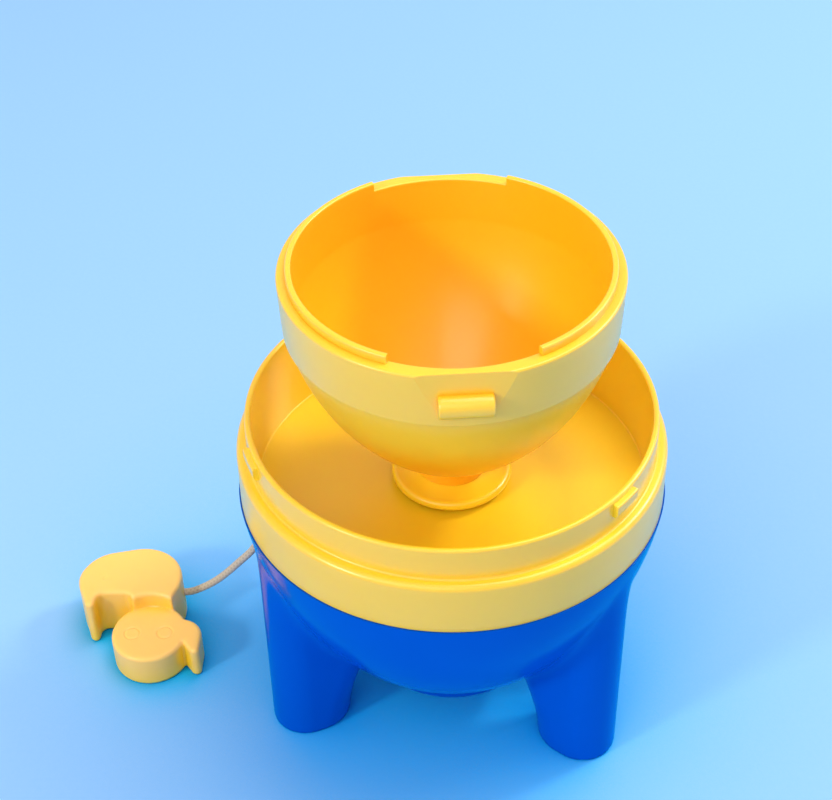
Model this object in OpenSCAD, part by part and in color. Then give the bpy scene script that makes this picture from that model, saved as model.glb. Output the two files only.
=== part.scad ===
// Pull-cord egg spinner, modelled at its real size with its feet on z = 0.
// The cup stands on a spindle above a dished deck. Pulling the cord turns a drum
// under the deck and winds up a flat spiral spring, which then turns the cup back and draws the
// cord in. +Z is the spin axis. Bearings are measured from the front, -Y, towards +X.

/* [Base shell] */
// Outer radius of the shell at its rim
rim_r = 41.4; // [40:0.1:44]
// Height of the rim above the table
rim_z = 55.3; // [54:0.1:60]
// Radius of the arc that the bowl's side follows
bowl_arc_r = 67.5; // [62:0.5:80]
// Wall of the shell
shell_wall = 2.2; // [1.8:0.1:2.6]
// Height of the flat bottom above the table
bottom_z = 12.4; // [11:0.1:13]
// Radius of the flat bottom
bottom_r = 18; // [17.6:0.1:19]
// Radius of the assembly opening in the bottom
opening_r = 15; // [14:0.1:16]

/* [Legs] */
// Bearing of the first of the three legs, in degrees
leg_turn = 53.4; // [40:0.1:70]
// How far a leg's upright outer side stands back from the shell's rim
leg_in = 1.2; // [0.6:0.1:3]
// Radius of a leg's outer side
leg_r = 6.9; // [6:0.1:7.4]
// Rounding of a foot's lower edge
foot_round = 1.2; // [0.5:0.1:2]
// Lean of a leg's inner side towards the spin axis, in degrees from upright
leg_lean = 22; // [12:0.5:28]
// Height where the leaning side leaves the upright foot
lean_z = 2; // [1.6:0.1:4]

/* [Deck collar] */
// How far the band stands back from the shell's rim
band_in = 0.3; // [0:0.1:1.5]
// Height of the band above the shell's rim
band_h = 11.1; // [8:0.1:14]
// Rounding of the band's upper edge
band_round = 1; // [0.4:0.1:1.6]
// How far the spigot that the dome cover slides over stands back from the band
spigot_in = 2.1; // [1.8:0.1:3]
// Wall of the spigot
spigot_wall = 1.2; // [1:0.1:1.8]
// Height of the spigot above the band
spigot_h = 7; // [5:0.1:10]
// Fillet between the spigot and the band
spigot_fillet = 1.1; // [0.4:0.1:1.4]
// Depth of the deck's floor below the spigot's top
deck_depth = 18.2; // [17:0.1:20]
// Thickness of the deck's floor
deck_t = 2.2; // [1.8:0.1:3]
// How far the locating ring reaches down into the shell
locating_h = 2; // [1:0.1:4]
// Wall of the locating ring
locating_wall = 1.6; // [1:0.1:2.4]
// Number of stiffening ribs under the floor
rib_count = 6; // [3:1:12]
// Thickness of a rib
rib_t = 1.4; // [1:0.1:2]
// Depth of a rib under the floor
rib_h = 2.5; // [1:0.1:4]

/* [Bayonet lugs] */
// Bearing of the first of the three lugs, in degrees
lug_turn = 52.5; // [40:0.5:70]
// Width of a lug round the spigot, in degrees
lug_span = 12; // [6:1:20]
// Height of a lug
lug_h = 3.4; // [2:0.1:4]
// How far a lug stands out of the spigot
lug_out = 1.2; // [0.6:0.1:1.6]

/* [Spindle and bearings] */
// Radius of the steel spindle
spindle_r = 3; // [2.5:0.1:3.5]
// Radial clearance between the spindle and a bush
run_gap = 0.05; // [0.02:0.01:0.1]
// Clearance round a piece that is fixed in its seat
seat_gap = 0.05; // [0.02:0.01:0.1]
// Outer radius of a bush
bush_r = 4.6; // [4.2:0.1:5.2]
// Radius of a bush's flange
bush_flange_r = 6.2; // [5.8:0.1:7]
// Thickness of a bush's flange
bush_flange_t = 1; // [0.8:0.1:1.4]
// Wall of the bearing boss under the deck
boss_wall = 3; // [2:0.1:4]
// How far the bearing boss reaches below the deck's floor
boss_drop = 5; // [4:0.1:6]
// Thickness of a thrust washer
washer_t = 0.8; // [0.5:0.1:1]
// Outer radius of a thrust washer
washer_r = 5.8; // [5:0.1:6]
// End play on each side of a thrust washer
end_play = 0.05; // [0.02:0.01:0.1]
// Thickness of the retaining ring
ring_t = 0.7; // [0.5:0.1:1]
// Outer radius of the retaining ring
ring_r = 4.8; // [4.4:0.1:5.4]
// Depth of the groove that the retaining ring sits in
groove_depth = 0.7; // [0.4:0.1:1]
// Length of the spindle below the retaining ring
spindle_end = 0.6; // [0.4:0.1:1]
// Room between the spindle's lower end and the bottom cap
end_room = 0.7; // [0.4:0.1:1]

/* [Cord drum] */
// Radius of the core that the cord winds on
core_r = 9; // [8:0.1:10]
// Radius of the drum's flanges
flange_r = 13; // [12:0.1:14]
// Thickness of a flange
flange_t = 1.2; // [1:0.1:1.4]
// Radius of the arbor that the spring hooks into
arbor_r = 5.2; // [5:0.1:5.6]
// Clearance round the arbor in the frame's plate
arbor_gap = 1.2; // [0.6:0.1:1.6]
// Width of the washer that the drum stands on
drum_washer_w = 3.4; // [2.8:0.1:4]
// Radius of the cross pin through the arbor
pin_r = 0.8; // [0.5:0.1:1]

/* [Cord] */
// Radius of the braided cord
cord_r = 0.8; // [0.6:0.05:0.9]
// Turns that lie on the drum at rest
wound_turns = 6; // [4:1:6]
// Room between the winding and a flange, and between the winding and the core
wound_gap = 0.15; // [0.1:0.05:0.2]
// Clearance round the cord in its holes
cord_gap = 0.3; // [0.2:0.05:0.5]
// Wall of the eyelet
eyelet_wall = 1; // [0.6:0.1:1.4]
// How far the eyelet's flange stands out round its tube
eyelet_flange = 1; // [0.6:0.1:1.4]
// Thickness of the eyelet's flange
eyelet_flange_t = 0.8; // [0.5:0.1:1.2]

/* [Drum frame] */
// Radius of the frame's plate
plate_r = 15.5; // [15:0.1:16.5]
// Wall of an ear round the pillar's outline
ear_wall = 0.4; // [0.2:0.1:0.8]
// Thickness of the plate
plate_t = 2; // [1.6:0.1:2.6]
// Room between an ear and the shell's inside
pillar_gap = 0.4; // [0.3:0.1:2]
// Radius of a pillar
pillar_r = 3.2; // [2.8:0.1:3.6]
// Inner radius of the spring case
case_r = 13; // [12:0.1:13.5]
// Wall of the spring case
case_wall = 1.5; // [1.2:0.1:2]
// Depth of the spring case
case_h = 7.8; // [7.6:0.1:8.4]
// Thickness of the case's cover
cover_t = 1.6; // [1.2:0.1:2]
// How far the lower bearing boss reaches below the cover
lower_boss_h = 2.8; // [2.4:0.1:3.2]
// Wall of the lower bearing boss
lower_boss_wall = 1.6; // [1.2:0.1:2]
// Distance of a cover screw from the spin axis
cover_screw_ring_r = 15.3; // [15:0.1:15.6]

/* [Spring] */
// Height of the spring's strip
strip_h = 6.6; // [5:0.1:7]
// Thickness of the spring's strip
strip_t = 0.45; // [0.3:0.05:0.5]
// Turns of the spring
strip_turns = 6; // [4:1:6]

/* [Shell posts and screws] */
// Bearing of a post past the leg before it, in degrees
post_turn = 45; // [40:1:50]
// Distance of a post from the spin axis
post_ring_r = 21.5; // [21:0.1:22.5]
// Radius of a post
post_r = 3.9; // [3.6:0.1:4.2]
// How far the deck's screw bosses hang below its floor
stub_h = 6; // [5:0.1:8]
// Thickness of the web that a long screw's head pulls on
web_t = 8; // [6:0.1:10]
// Radius of a long screw's head
head_r = 2.5; // [2.2:0.1:2.8]
// Height of a screw's head
head_h = 1.8; // [1.4:0.1:2.2]
// Radius of a long screw's shank
shank_r = 1.4; // [1.2:0.05:1.6]
// Clearance of a screw in a through hole
screw_gap = 0.2; // [0.1:0.05:0.4]
// Radius of a small screw's head
small_head_r = 1.6; // [1.4:0.05:1.7]
// Height of a small screw's head
small_head_h = 1.2; // [1:0.1:1.4]
// Radius of a small screw's shank
small_shank_r = 0.8; // [0.7:0.05:1]
// Length of a small screw's shank in the piece that it is driven into
small_shank_l = 6; // [4:0.1:6.5]
// Wall round a small screw's hole
small_boss_wall = 1.3; // [1:0.1:1.5]

/* [Bottom cap] */
// Radius of the cap
cap_r = 18.2; // [17.5:0.1:19]
// Thickness of the cap
cap_t = 2.4; // [1.8:0.1:3]
// Height of the ring that plugs the opening
plug_h = 2; // [1:0.1:2.2]
// Wall of the plug ring
plug_wall = 1.4; // [1:0.1:2]

/* [Drive hub] */
// Radius of the hub's saucer
hub_r = 11.4; // [10:0.1:13]
// Height of the saucer's rim above its underside
hub_rim_h = 1.7; // [1.4:0.1:2.2]
// Radius of the seat that the cup's neck stands on
seat_r = 7.2; // [7:0.1:8]
// Height of the seat above the hub's underside
seat_h = 2.2; // [2:0.1:3]
// Radius of the driving boss
drive_r = 4.6; // [4.4:0.1:4.8]
// Height of the driving boss above the seat
drive_h = 3.6; // [3:0.1:4]
// Width of the driving boss across its two flats
drive_flats = 7.6; // [7.4:0.1:8.2]
// Depth of the flat on the spindle
spindle_flat = 0.6; // [0.4:0.1:0.8]

/* [Cup] */
// Bearing of the cup's latch at rest, in degrees
cup_turn = 4.6; // [0:0.1:360]
// Outer radius of the cup at its rim
cup_r = 31; // [30:0.1:33]
// Width of the cup's rim
cup_rim_w = 2.8; // [2.4:0.1:4]
// Height of the upright band under the rim
cup_band_h = 10.8; // [9:0.1:13]
// How much the band narrows to its lower edge
cup_band_taper = 0.5; // [0:0.1:0.8]
// Height of the band's lower edge above the table
cup_band_z = 94.2; // [92:0.1:100]
// How far the cup's side stands back from the band's lower edge
cup_step = 0.5; // [0.3:0.1:1]
// Radius of the arc that the cup's side follows
cup_arc_r = 47.4; // [44:0.5:52]
// Lean of the cup's side under the band, in degrees from upright
cup_lean = 11.9; // [9:0.1:14]
// Wall of the cup
cup_wall = 2.2; // [1.8:0.1:2.4]
// Radius of the neck
neck_r = 6.7; // [6.4:0.1:7]
// Floor of the cup above the driving boss
cup_floor_t = 4; // [3.4:0.1:5]
// Radius of the flat inside the cup
cup_flat_r = 8.6; // [7:0.1:10]

/* [Cup tongue and latch] */
// Thickness of the tongue that the other half of the capsule slides over
tongue_t = 1.1; // [0.8:0.1:1.4]
// Height of the tongue above the rim
tongue_h = 1.6; // [1:0.1:2.4]
// Width of each gap in the tongue, in degrees
tongue_gap = 52.2; // [30:0.1:80]
// Length of the latch bar
latch_w = 9.4; // [6:0.1:12]
// Radius of the latch bar's round front
latch_r = 2.1; // [1.6:0.1:2.6]
// Depth of the latch bar's middle below the rim
latch_drop = 6.2; // [5:0.1:8]
// Width of the latch recess at the rim
recess_w = 17.7; // [12:0.1:20]
// Depth of the latch recess
recess_depth = 0.8; // [0.4:0.1:1.2]

/* [Pull] */
// Thickness of the pull's body
pull_t = 12; // [10:0.1:14]
// Thickness of the pull's head
head_t = 8; // [6:0.1:9]
// Where the middle of the breast lies on the table, left to right
pull_x = -68.4; // [-80:0.1:-64]
// Where the middle of the breast lies on the table, front to back
pull_y = 13.4; // [10:0.1:16]
// Radius of the breast
breast_r = 9.1; // [8:0.1:10]
// Radius of the rump
rump_r = 8.6; // [7:0.1:9]
// Radius of the head
duck_head_r = 8.1; // [7:0.1:9]
// Radius of the round marks on the head
mark_r = 1.8; // [1:0.1:2.4]
// Depth of the round marks
mark_depth = 0.3; // [0.1:0.1:0.6]
// Radius of the knot that holds the cord in the pull
knot_r = 1.9; // [1.6:0.1:2.2]
// Radius of the pocket under the pull that takes the knot
pocket_r = 2.4; // [2.3:0.1:3]

/* [Hidden] */
$fn = 96;
tiny = 0.01;

// The three legs, the three posts between them and the three lugs
leg_bearings = [leg_turn, leg_turn + 120, leg_turn + 240];
post_bearings = [for (a = leg_bearings) a + post_turn];
lug_bearings = [lug_turn, lug_turn + 120, lug_turn + 240];

// Radii that follow the shell's rim
leg_ring_r = rim_r - leg_in - leg_r;
band_r = rim_r - band_in;
spigot_r = band_r - spigot_in;

// Heights from the shell upwards
band_z = rim_z + band_h;
spigot_z = band_z + spigot_h;
deck_z = spigot_z - deck_depth;
deck_under_z = deck_z - deck_t;
spigot_inner_r = spigot_r - spigot_wall;
boss_z = deck_under_z - boss_drop;
boss_r = bush_r + boss_wall;

// Heights above the bottom: the spindle's end, the spring's cover and case, and the frame's plate
spindle_z = bottom_z + end_room;
ring_z = spindle_z + spindle_end;
lower_boss_z = ring_z + ring_t + end_play;
cover_z = lower_boss_z + lower_boss_h;
case_z = cover_z + cover_t;
plate_z = case_z + case_h;
plate_top_z = plate_z + plate_t;
arbor_z = case_z + (case_h - strip_h) / 2;
pin_z = plate_z + plate_t / 2;
arbor_hole_r = arbor_r + arbor_gap;

// The drum fills the height between the plate's washer and the upper bush's
drum_bottom_z = plate_top_z + washer_t + 2 * end_play;
drum_top_z = boss_z - bush_flange_t - washer_t - 2 * end_play;

// Heights of the turning pieces above the deck
hub_z = deck_z + washer_t + 2 * end_play;
hub_seat_z = hub_z + seat_h;
drive_z = hub_seat_z + drive_h;

// The winding, whose last turn leaves the drum at the bottom, on its back side
wind_r = core_r + wound_gap + cord_r;
wind_bottom_z = drum_bottom_z + flange_t + wound_gap + cord_r;
wind_top_z = drum_top_z - flange_t - wound_gap - cord_r;
wound_pitch = (wind_top_z - wind_bottom_z) / wound_turns;
exit_z = wind_bottom_z;
exit_y = wind_r;

// The posts, from the shell up to the deck's stubs, and the long screws in them
stub_z = deck_under_z - stub_h;
web_z = stub_z - web_t;
screw_end_z = deck_z - 1;

// Top of the legs, inside the bowl's wall, and how far out a leaning leg's middle starts
leg_top_z = rim_z - 2;
lean_shift = leg_r / cos(leg_lean) - leg_r;

// Centre of the bowl's arc, which runs from the flat bottom's edge to the rim, and the radius of the
// bowl at a height for a wall drawn in by t
bowl_chord = [rim_r - bottom_r, rim_z - bottom_z];
bowl_centre = [bottom_r, bottom_z] + bowl_chord / 2 + [-bowl_chord[1], bowl_chord[0]] / norm(bowl_chord)
    * sqrt(pow(bowl_arc_r, 2) - pow(norm(bowl_chord) / 2, 2));
function bowl_r_at(z, t = 0) = bowl_centre[0] + sqrt(pow(bowl_arc_r - t, 2) - pow(bowl_centre[1] - z, 2));

// Distance of a pillar from the spin axis
pillar_ring_r = bowl_r_at(plate_z, shell_wall) - pillar_gap - ear_wall - pillar_r;

// The eyelet's flat boss, which stands just outside the bowl where its upper front edge meets it
eyelet_r = cord_r + cord_gap + eyelet_wall;
eyelet_boss_r = eyelet_r + eyelet_flange + 0.6;
eyelet_x = -sqrt(pow(bowl_r_at(exit_z + eyelet_boss_r), 2) - pow(exit_y - eyelet_boss_r, 2)) - 0.4;
eyelet_in_x = -sqrt(pow(bowl_r_at(exit_z, shell_wall), 2) - pow(exit_y, 2)) + 1;

// The cup: its radii, the centre of its arc, its rim, and its inside
cup_inner_r = cup_r - cup_rim_w;
cup_bowl_r = cup_r - cup_band_taper - cup_step;
cup_arc_x = cup_bowl_r - cup_arc_r * cos(cup_lean);
cup_arc_z = cup_band_z + cup_arc_r * sin(cup_lean);
cup_rim_z = cup_band_z + cup_band_h;
cup_floor_z = drive_z + cup_floor_t;
latch_z = cup_rim_z - latch_drop;

// Places on the pull, upright as a duck is drawn, from the middle of its breast
rump_at = [4.8, -0.5];
tail_root_at = [8.3, 0];
tail_root_r = 5;
tail_tip_at = [9.7, 7.3];
tail_tip_r = 1.1;
back_cut_at = [4.9, 8.9];
back_cut_r = 4.4;
neck_w = 8.8;
neck_left = -7.8;
neck_top = 8;
duck_head_at = [-3.3, 12.2];
head_step = 0.8;
bill_at = [-9.9, 13];
bill_r = 4.7;
bill_tip_at = [-13.6, 16.8];
bill_tip_r = 0.95;
bill_notch = [-10.8, 15];
mark_at = [[0.5, 13], [-6.7, 12.4]];

// The pull's cord hole, from its side into the knot's pocket
hole_z = pull_t / 2;
hole_y = 14.6;
pocket_x = pull_x;
knot_x = pocket_x + pocket_r - knot_r - 0.05;

// The free cord's middle line outside the shell: round numbers chosen by eye along what the
// photograph shows, down in a slack arc and level into the pull
cord_route = [[-38, 9.9, 31.1], [-39.3, 9.9, 29.9], [-40.5, 9.9, 27.7], [-41.7, 10, 25.1],
              [-43.1, 10.4, 22.7], [-45.5, 11, 19.5], [-48, 11.8, 16], [-50.6, 12.8, 12.5],
              [-53.2, 13.7, 9.6], [-55.7, 14.4, 7.4], [-58, 14.6, 6.2], [-61, 14.6, 6]];

// A solid turned from the profile given as children
module turned() rotate_extrude(convexity = 6) children();

// A ring between two radii, standing on z
module ring(outer, inner, h, z = 0)
    translate([0, 0, z]) difference() {
        cylinder(r = outer, h = h);
        translate([0, 0, -1]) cylinder(r = inner, h = h + 2);
    }

// Children copied to a bearing and a distance from the spin axis
module at_bearings(bearings, r = 0)
    for (a = bearings) rotate([0, 0, a]) translate([0, -r, 0]) children();

// A sector of the plane, open towards the front, from bearing -half to +half
module sector(half, r) polygon([[0, 0], [-r * tan(half), -r], [r * tan(half), -r]]);

// Two circles and the two straight lines that touch both
module capsule(a, ra, b, rb) {
    d = b - a;
    dir = atan2(d[1], d[0]);
    lift = acos((ra - rb) / norm(d));
    translate(a) circle(r = ra);
    translate(b) circle(r = rb);
    polygon([for (s = [[a, ra, lift], [b, rb, lift], [b, rb, -lift], [a, ra, -lift]])
             s[0] + s[1] * [cos(dir + s[2]), sin(dir + s[2])]]);
}

// A pan-head screw, head down at z = 0 and shank upwards
module screw(head, head_height, shank, length) {
    difference() {
        cylinder(r = head, h = head_height);
        for (a = [0, 90]) rotate([0, 0, a])
            translate([-head * 0.6, -head * 0.14, -tiny]) cube([head * 1.2, head * 0.28, head_height * 0.5]);
    }
    cylinder(r = shank, h = head_height + length);
}

// A tube of eight sides along points; each ring stands square to the route there
function ring_dir(p, i) = let (a = p[max(i - 1, 0)], b = p[min(i + 1, len(p) - 1)]) (b - a) / norm(b - a);
function ring_side(d) = let (s = cross(d, [0, 0, 1])) s / norm(s);
module tube(p, r, sides = 8) {
    n = len(p);
    points = [for (i = [0 : n - 1]) let (d = ring_dir(p, i), u = ring_side(d), v = cross(u, d))
              for (k = [0 : sides - 1]) p[i] + r * (u * cos(360 * k / sides) + v * sin(360 * k / sides))];
    walls = [for (i = [0 : n - 2], k = [0 : sides - 1]) let (j = (k + 1) % sides)
             each [[i * sides + k, i * sides + j, (i + 1) * sides + j],
                   [i * sides + k, (i + 1) * sides + j, (i + 1) * sides + k]]];
    start = [[for (k = [sides - 1 : -1 : 0]) k]];
    end = [[for (k = [0 : sides - 1]) (n - 1) * sides + k]];
    polyhedron(points = points, faces = concat(walls, start, end), convexity = 6);
}

// Half of the bowl's section, drawn in by t, from height z upwards to the rim
module bowl_section(t, z, top = rim_z) intersection() {
    translate(bowl_centre) circle(r = bowl_arc_r - t, $fn = 180);
    translate([0, z]) square([rim_r + 1, top - z]);
}

// A leg's outline: round on one side, and open-ended on the other, inwards (1) or outwards (-1)
module leg_outline(r, open) {
    circle(r = r);
    translate([-r, open > 0 ? 0 : -leg_ring_r]) square([2 * r, leg_ring_r]);
}

// One leg drawn in by t, from height z up: what an upright form that is round outside and a leaning
// one that is round inside have in common
module leg(t, z) intersection() {
    translate([0, 0, z]) linear_extrude(leg_top_z - z) leg_outline(leg_r - t, 1);
    translate([0, -lean_shift, lean_z]) rotate([-leg_lean, 0, 0])
        translate([0, 0, -rim_z / 2]) linear_extrude(2 * rim_z) leg_outline(leg_r - t, -1);
}

// The upright foot, with its rounded edge, up to where the leaning side has grown past it
module foot() turned() difference() {
    square([leg_r, lean_z + lean_shift / tan(leg_lean) + 1]);
    translate([leg_r, 0]) foot_edge();
}

// The square corner less the quarter round at a foot's lower edge
module foot_edge() difference() {
    translate([-foot_round, -1]) square([foot_round + 1, foot_round + 1]);
    translate([-foot_round, foot_round]) circle(r = foot_round, $fn = 48);
}

// The three legs drawn in by t, from height z up
module legs(t, z) at_bearings(leg_bearings, leg_ring_r) leg(t, z);

module base_shell() color("royalblue") difference() {
    union() {
        difference() {
            union() {
                turned() bowl_section(0, bottom_z);
                legs(0, foot_round);
                at_bearings(leg_bearings, leg_ring_r) foot();
            }
            turned() bowl_section(shell_wall, bottom_z + shell_wall, rim_z + 1);
            legs(shell_wall, shell_wall);
        }
        // The posts between the legs, down to the bowl's wall
        intersection() {
            at_bearings(post_bearings, post_ring_r) cylinder(r = post_r, h = stub_z);
            turned() bowl_section(0, bottom_z);
        }
        // The flat round boss that the eyelet sits in
        intersection() {
            translate([eyelet_x, exit_y, exit_z]) rotate([0, 90, 0])
                cylinder(r = eyelet_boss_r, h = eyelet_in_x - eyelet_x);
            translate([-rim_r, 0, 0]) cube([rim_r, rim_r, rim_z]);
        }
    }
    translate([0, 0, bottom_z - 1]) cylinder(r = opening_r, h = shell_wall + 2);
    at_bearings(post_bearings, post_ring_r) {
        translate([0, 0, -1]) cylinder(r = head_r + screw_gap, h = web_z + 1);
        cylinder(r = shank_r + screw_gap, h = rim_z);
    }
    translate([eyelet_x - 1, exit_y, exit_z]) rotate([0, 90, 0])
        cylinder(r = eyelet_r + seat_gap, h = eyelet_in_x - eyelet_x + 2);
}

module collar_section() difference() {
    union() {
        translate([deck_ring_r() - locating_wall, deck_under_z - locating_h])
            square([locating_wall, locating_h + deck_t]);
        translate([spigot_inner_r - 1, rim_z]) square([band_r - band_round - spigot_inner_r + 1, band_h]);
        translate([band_r - band_round - 1, rim_z]) square([band_round + 1, band_h - band_round]);
        translate([band_r - band_round, band_z - band_round]) circle(r = band_round, $fn = 48);
        translate([spigot_r - 1, band_z - 1]) square([spigot_fillet + 1, spigot_fillet + 1]);
        translate([0, band_z]) square([spigot_r, spigot_h]);
        translate([0, deck_under_z]) square([deck_ring_r(), deck_t + 1]);
    }
    translate([spigot_r + spigot_fillet, band_z + spigot_fillet]) circle(r = spigot_fillet, $fn = 48);
    translate([0, deck_z]) square([spigot_inner_r, spigot_z]);
}

// Outer radius of the locating ring, which fits the shell's inside at its lower edge
function deck_ring_r() = bowl_r_at(deck_under_z - locating_h, shell_wall) - 2 * seat_gap;

module deck_collar() color("gold") difference() {
    union() {
        turned() collar_section();
        translate([0, 0, boss_z]) cylinder(r = boss_r, h = boss_drop + tiny);
        at_bearings(leg_bearings, pillar_ring_r)
            translate([0, 0, plate_top_z]) cylinder(r = pillar_r, h = deck_under_z - plate_top_z + tiny);
        at_bearings(post_bearings, post_ring_r)
            translate([0, 0, stub_z]) cylinder(r = post_r, h = stub_h + tiny);
        for (i = [0 : rib_count - 1]) rotate([0, 0, leg_turn + 360 * i / rib_count])
            translate([-rib_t / 2, -deck_ring_r() + locating_wall / 2, deck_under_z - rib_h])
                cube([rib_t, deck_ring_r() - locating_wall / 2 - boss_r + 1, rib_h + tiny]);
        // The bayonet lugs on the spigot
        at_bearings(lug_bearings) intersection() {
            ring(spigot_r + lug_out, spigot_r - spigot_wall / 2, lug_h, spigot_z - lug_h);
            translate([0, 0, spigot_z - lug_h]) linear_extrude(lug_h) sector(lug_span / 2, spigot_r + 5);
            translate([0, 0, spigot_z - lug_h - 1])
                cylinder(r1 = spigot_r + lug_out + 1 + lug_h, r2 = spigot_r, h = lug_h + 1);
        }
    }
    translate([0, 0, boss_z - 1]) cylinder(r = bush_r + seat_gap, h = boss_drop + deck_t + 2);
    at_bearings(leg_bearings, pillar_ring_r)
        translate([0, 0, plate_top_z - 1]) cylinder(r = small_shank_r, h = small_shank_l + 1);
    at_bearings(post_bearings, post_ring_r)
        translate([0, 0, stub_z - 1]) cylinder(r = shank_r, h = screw_end_z - stub_z + 1);
}

module bottom_cap() color("mediumblue") {
    translate([0, 0, bottom_z - cap_t]) turned() {
        square([cap_r - cap_t / 2, cap_t]);
        translate([0, cap_t / 2]) square([cap_r, cap_t / 2]);
        translate([cap_r - cap_t / 2, cap_t / 2]) circle(r = cap_t / 2, $fn = 48);
    }
    ring(opening_r - seat_gap, opening_r - seat_gap - plug_wall, plug_h, bottom_z);
}

// A flanged bush; the flange is on its lower end, at z = 0
module bush(length, flange) color("ivory") difference() {
    union() {
        cylinder(r = bush_r, h = length);
        cylinder(r = flange, h = bush_flange_t);
    }
    translate([0, 0, -1]) cylinder(r = spindle_r + run_gap, h = length + 2);
}

module upper_bush() translate([0, 0, boss_z - bush_flange_t])
    bush(bush_flange_t + boss_drop + deck_t, bush_flange_r);

module lower_bush() translate([0, 0, lower_boss_z])
    bush(lower_boss_h + cover_t, bush_r);

// Outline of the frame's plate, with an ear under each pillar
module plate_outline() difference() {
    union() {
        circle(r = plate_r);
        at_bearings(leg_bearings, pillar_ring_r) {
            circle(r = pillar_r + ear_wall);
            translate([-pillar_r - ear_wall, 0]) square([2 * (pillar_r + ear_wall), pillar_ring_r - plate_r + 2]);
        }
    }
    circle(r = arbor_hole_r);
    at_bearings(leg_bearings, pillar_ring_r) circle(r = small_shank_r + screw_gap);
}

// Outline round the spring case and its cover, with three bosses
module case_round() {
    circle(r = case_r + case_wall);
    at_bearings(leg_bearings, cover_screw_ring_r) circle(r = small_shank_r + small_boss_wall);
}

// Outline of the spring case's wall, with a notch for the spring's outer end
module case_outline() difference() {
    case_round();
    circle(r = case_r);
    rotate(strip_end_turn()) translate([case_r - 1, -strip_t]) square([case_wall / 2 + 1, 2 * strip_t]);
}

// The plate, and below it the open spring case
module drum_frame() color("gainsboro") difference() {
    union() {
        translate([0, 0, plate_z]) linear_extrude(plate_t) plate_outline();
        translate([0, 0, case_z]) linear_extrude(case_h + tiny) case_outline();
    }
    at_bearings(leg_bearings, cover_screw_ring_r)
        translate([0, 0, case_z - 1]) cylinder(r = small_shank_r, h = small_shank_l + 1);
}

module spring_cover() color("gainsboro") difference() {
    union() {
        translate([0, 0, cover_z]) linear_extrude(cover_t) difference() {
            case_round();
            at_bearings(leg_bearings, cover_screw_ring_r) circle(r = small_shank_r + screw_gap);
        }
        translate([0, 0, lower_boss_z]) cylinder(r = bush_r + lower_boss_wall, h = lower_boss_h + tiny);
    }
    translate([0, 0, lower_boss_z - 1]) cylinder(r = bush_r + seat_gap, h = lower_boss_h + cover_t + 2);
}

// The spring's spiral, from the arbor out to the case, and its two hooked ends
strip_in_r = arbor_r + 0.35;
strip_out_r = case_r - strip_t - 0.1;
function strip_end_turn() = 360 * strip_turns;
function strip_r(a) = strip_in_r + (strip_out_r - strip_in_r) * a / strip_end_turn();

// One outline: the inner face from the arbor outwards, the outer hook, the outer face back, the inner hook
module mainspring() color("slategray") {
    steps = strip_turns * 24;
    turns = [for (i = [1 : steps]) i * strip_end_turn() / steps];
    translate([0, 0, arbor_z]) linear_extrude(strip_h) polygon(concat(
        [[strip_in_r - 1.1, strip_t], [strip_in_r, strip_t]],
        [for (a = turns) strip_r(a) * [cos(a), sin(a)]],
        [[strip_out_r + strip_t + 0.6, 0], [strip_out_r + strip_t + 0.6, -strip_t], [strip_out_r + strip_t, -strip_t]],
        [for (i = [steps - 2 : -1 : 0]) (strip_r(turns[i]) + strip_t) * [cos(turns[i]), sin(turns[i])]],
        [[strip_in_r + strip_t, 0], [strip_in_r - 1.1, 0]]));
}

module frame_screws() color("silver") at_bearings(leg_bearings, pillar_ring_r)
    translate([0, 0, plate_z - small_head_h])
        screw(small_head_r, small_head_h, small_shank_r - tiny, plate_t + small_shank_l - 0.5);

module cover_screws() color("silver") at_bearings(leg_bearings, cover_screw_ring_r)
    translate([0, 0, cover_z - small_head_h])
        screw(small_head_r, small_head_h, small_shank_r - tiny, cover_t + small_shank_l - 0.5);

module shell_screws() color("silver") at_bearings(post_bearings, post_ring_r)
    translate([0, 0, web_z - head_h])
        screw(head_r, head_h, shank_r - tiny, screw_end_z - web_z - 0.5);

module cord_eyelet() color("silver") translate([eyelet_x, exit_y, exit_z]) rotate([0, 90, 0]) difference() {
    union() {
        cylinder(r = eyelet_r, h = eyelet_in_x - eyelet_x);
        translate([0, 0, -eyelet_flange_t]) cylinder(r = eyelet_r + eyelet_flange, h = eyelet_flange_t);
    }
    translate([0, 0, -eyelet_flange_t - 1])
        cylinder(r = cord_r + cord_gap, h = eyelet_in_x - eyelet_x + eyelet_flange_t + 2);
}

// The spindle, with its ring groove below, the cross hole, the flat at the hub and the tapped end
module spindle() color("lightsteelblue") rotate([0, 0, cup_turn]) difference() {
    translate([0, 0, spindle_z]) cylinder(r = spindle_r, h = drive_z - spindle_z);
    ring(spindle_r + 1, spindle_r - groove_depth, ring_t + end_play, ring_z - end_play / 2);
    translate([0, 0, pin_z]) rotate([0, 90, 0]) cylinder(r = pin_r, h = 4 * spindle_r, center = true);
    translate([-spindle_r, -spindle_r - 1, hub_z])
        cube([2 * spindle_r, spindle_flat + 1, drive_z - hub_z + 1]);
    translate([0, 0, hub_z]) cylinder(r = shank_r, h = drive_z - hub_z + 1);
}

// An open ring that snaps sideways into the spindle's groove
module retaining_ring() color("slategray") rotate([0, 0, cup_turn]) translate([0, 0, ring_z]) difference() {
    cylinder(r = ring_r, h = ring_t);
    translate([0, 0, -1]) cylinder(r = spindle_r - groove_depth + seat_gap, h = ring_t + 2);
    translate([-(spindle_r - groove_depth) * 0.7, -ring_r - 1, -1])
        cube([(spindle_r - groove_depth) * 1.4, ring_r + 1, ring_t + 2]);
}

module thrust_washers() color("ivory") for (z = [drum_top_z + end_play, deck_z + end_play])
    ring(washer_r, spindle_r + seat_gap, washer_t, z);

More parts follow.
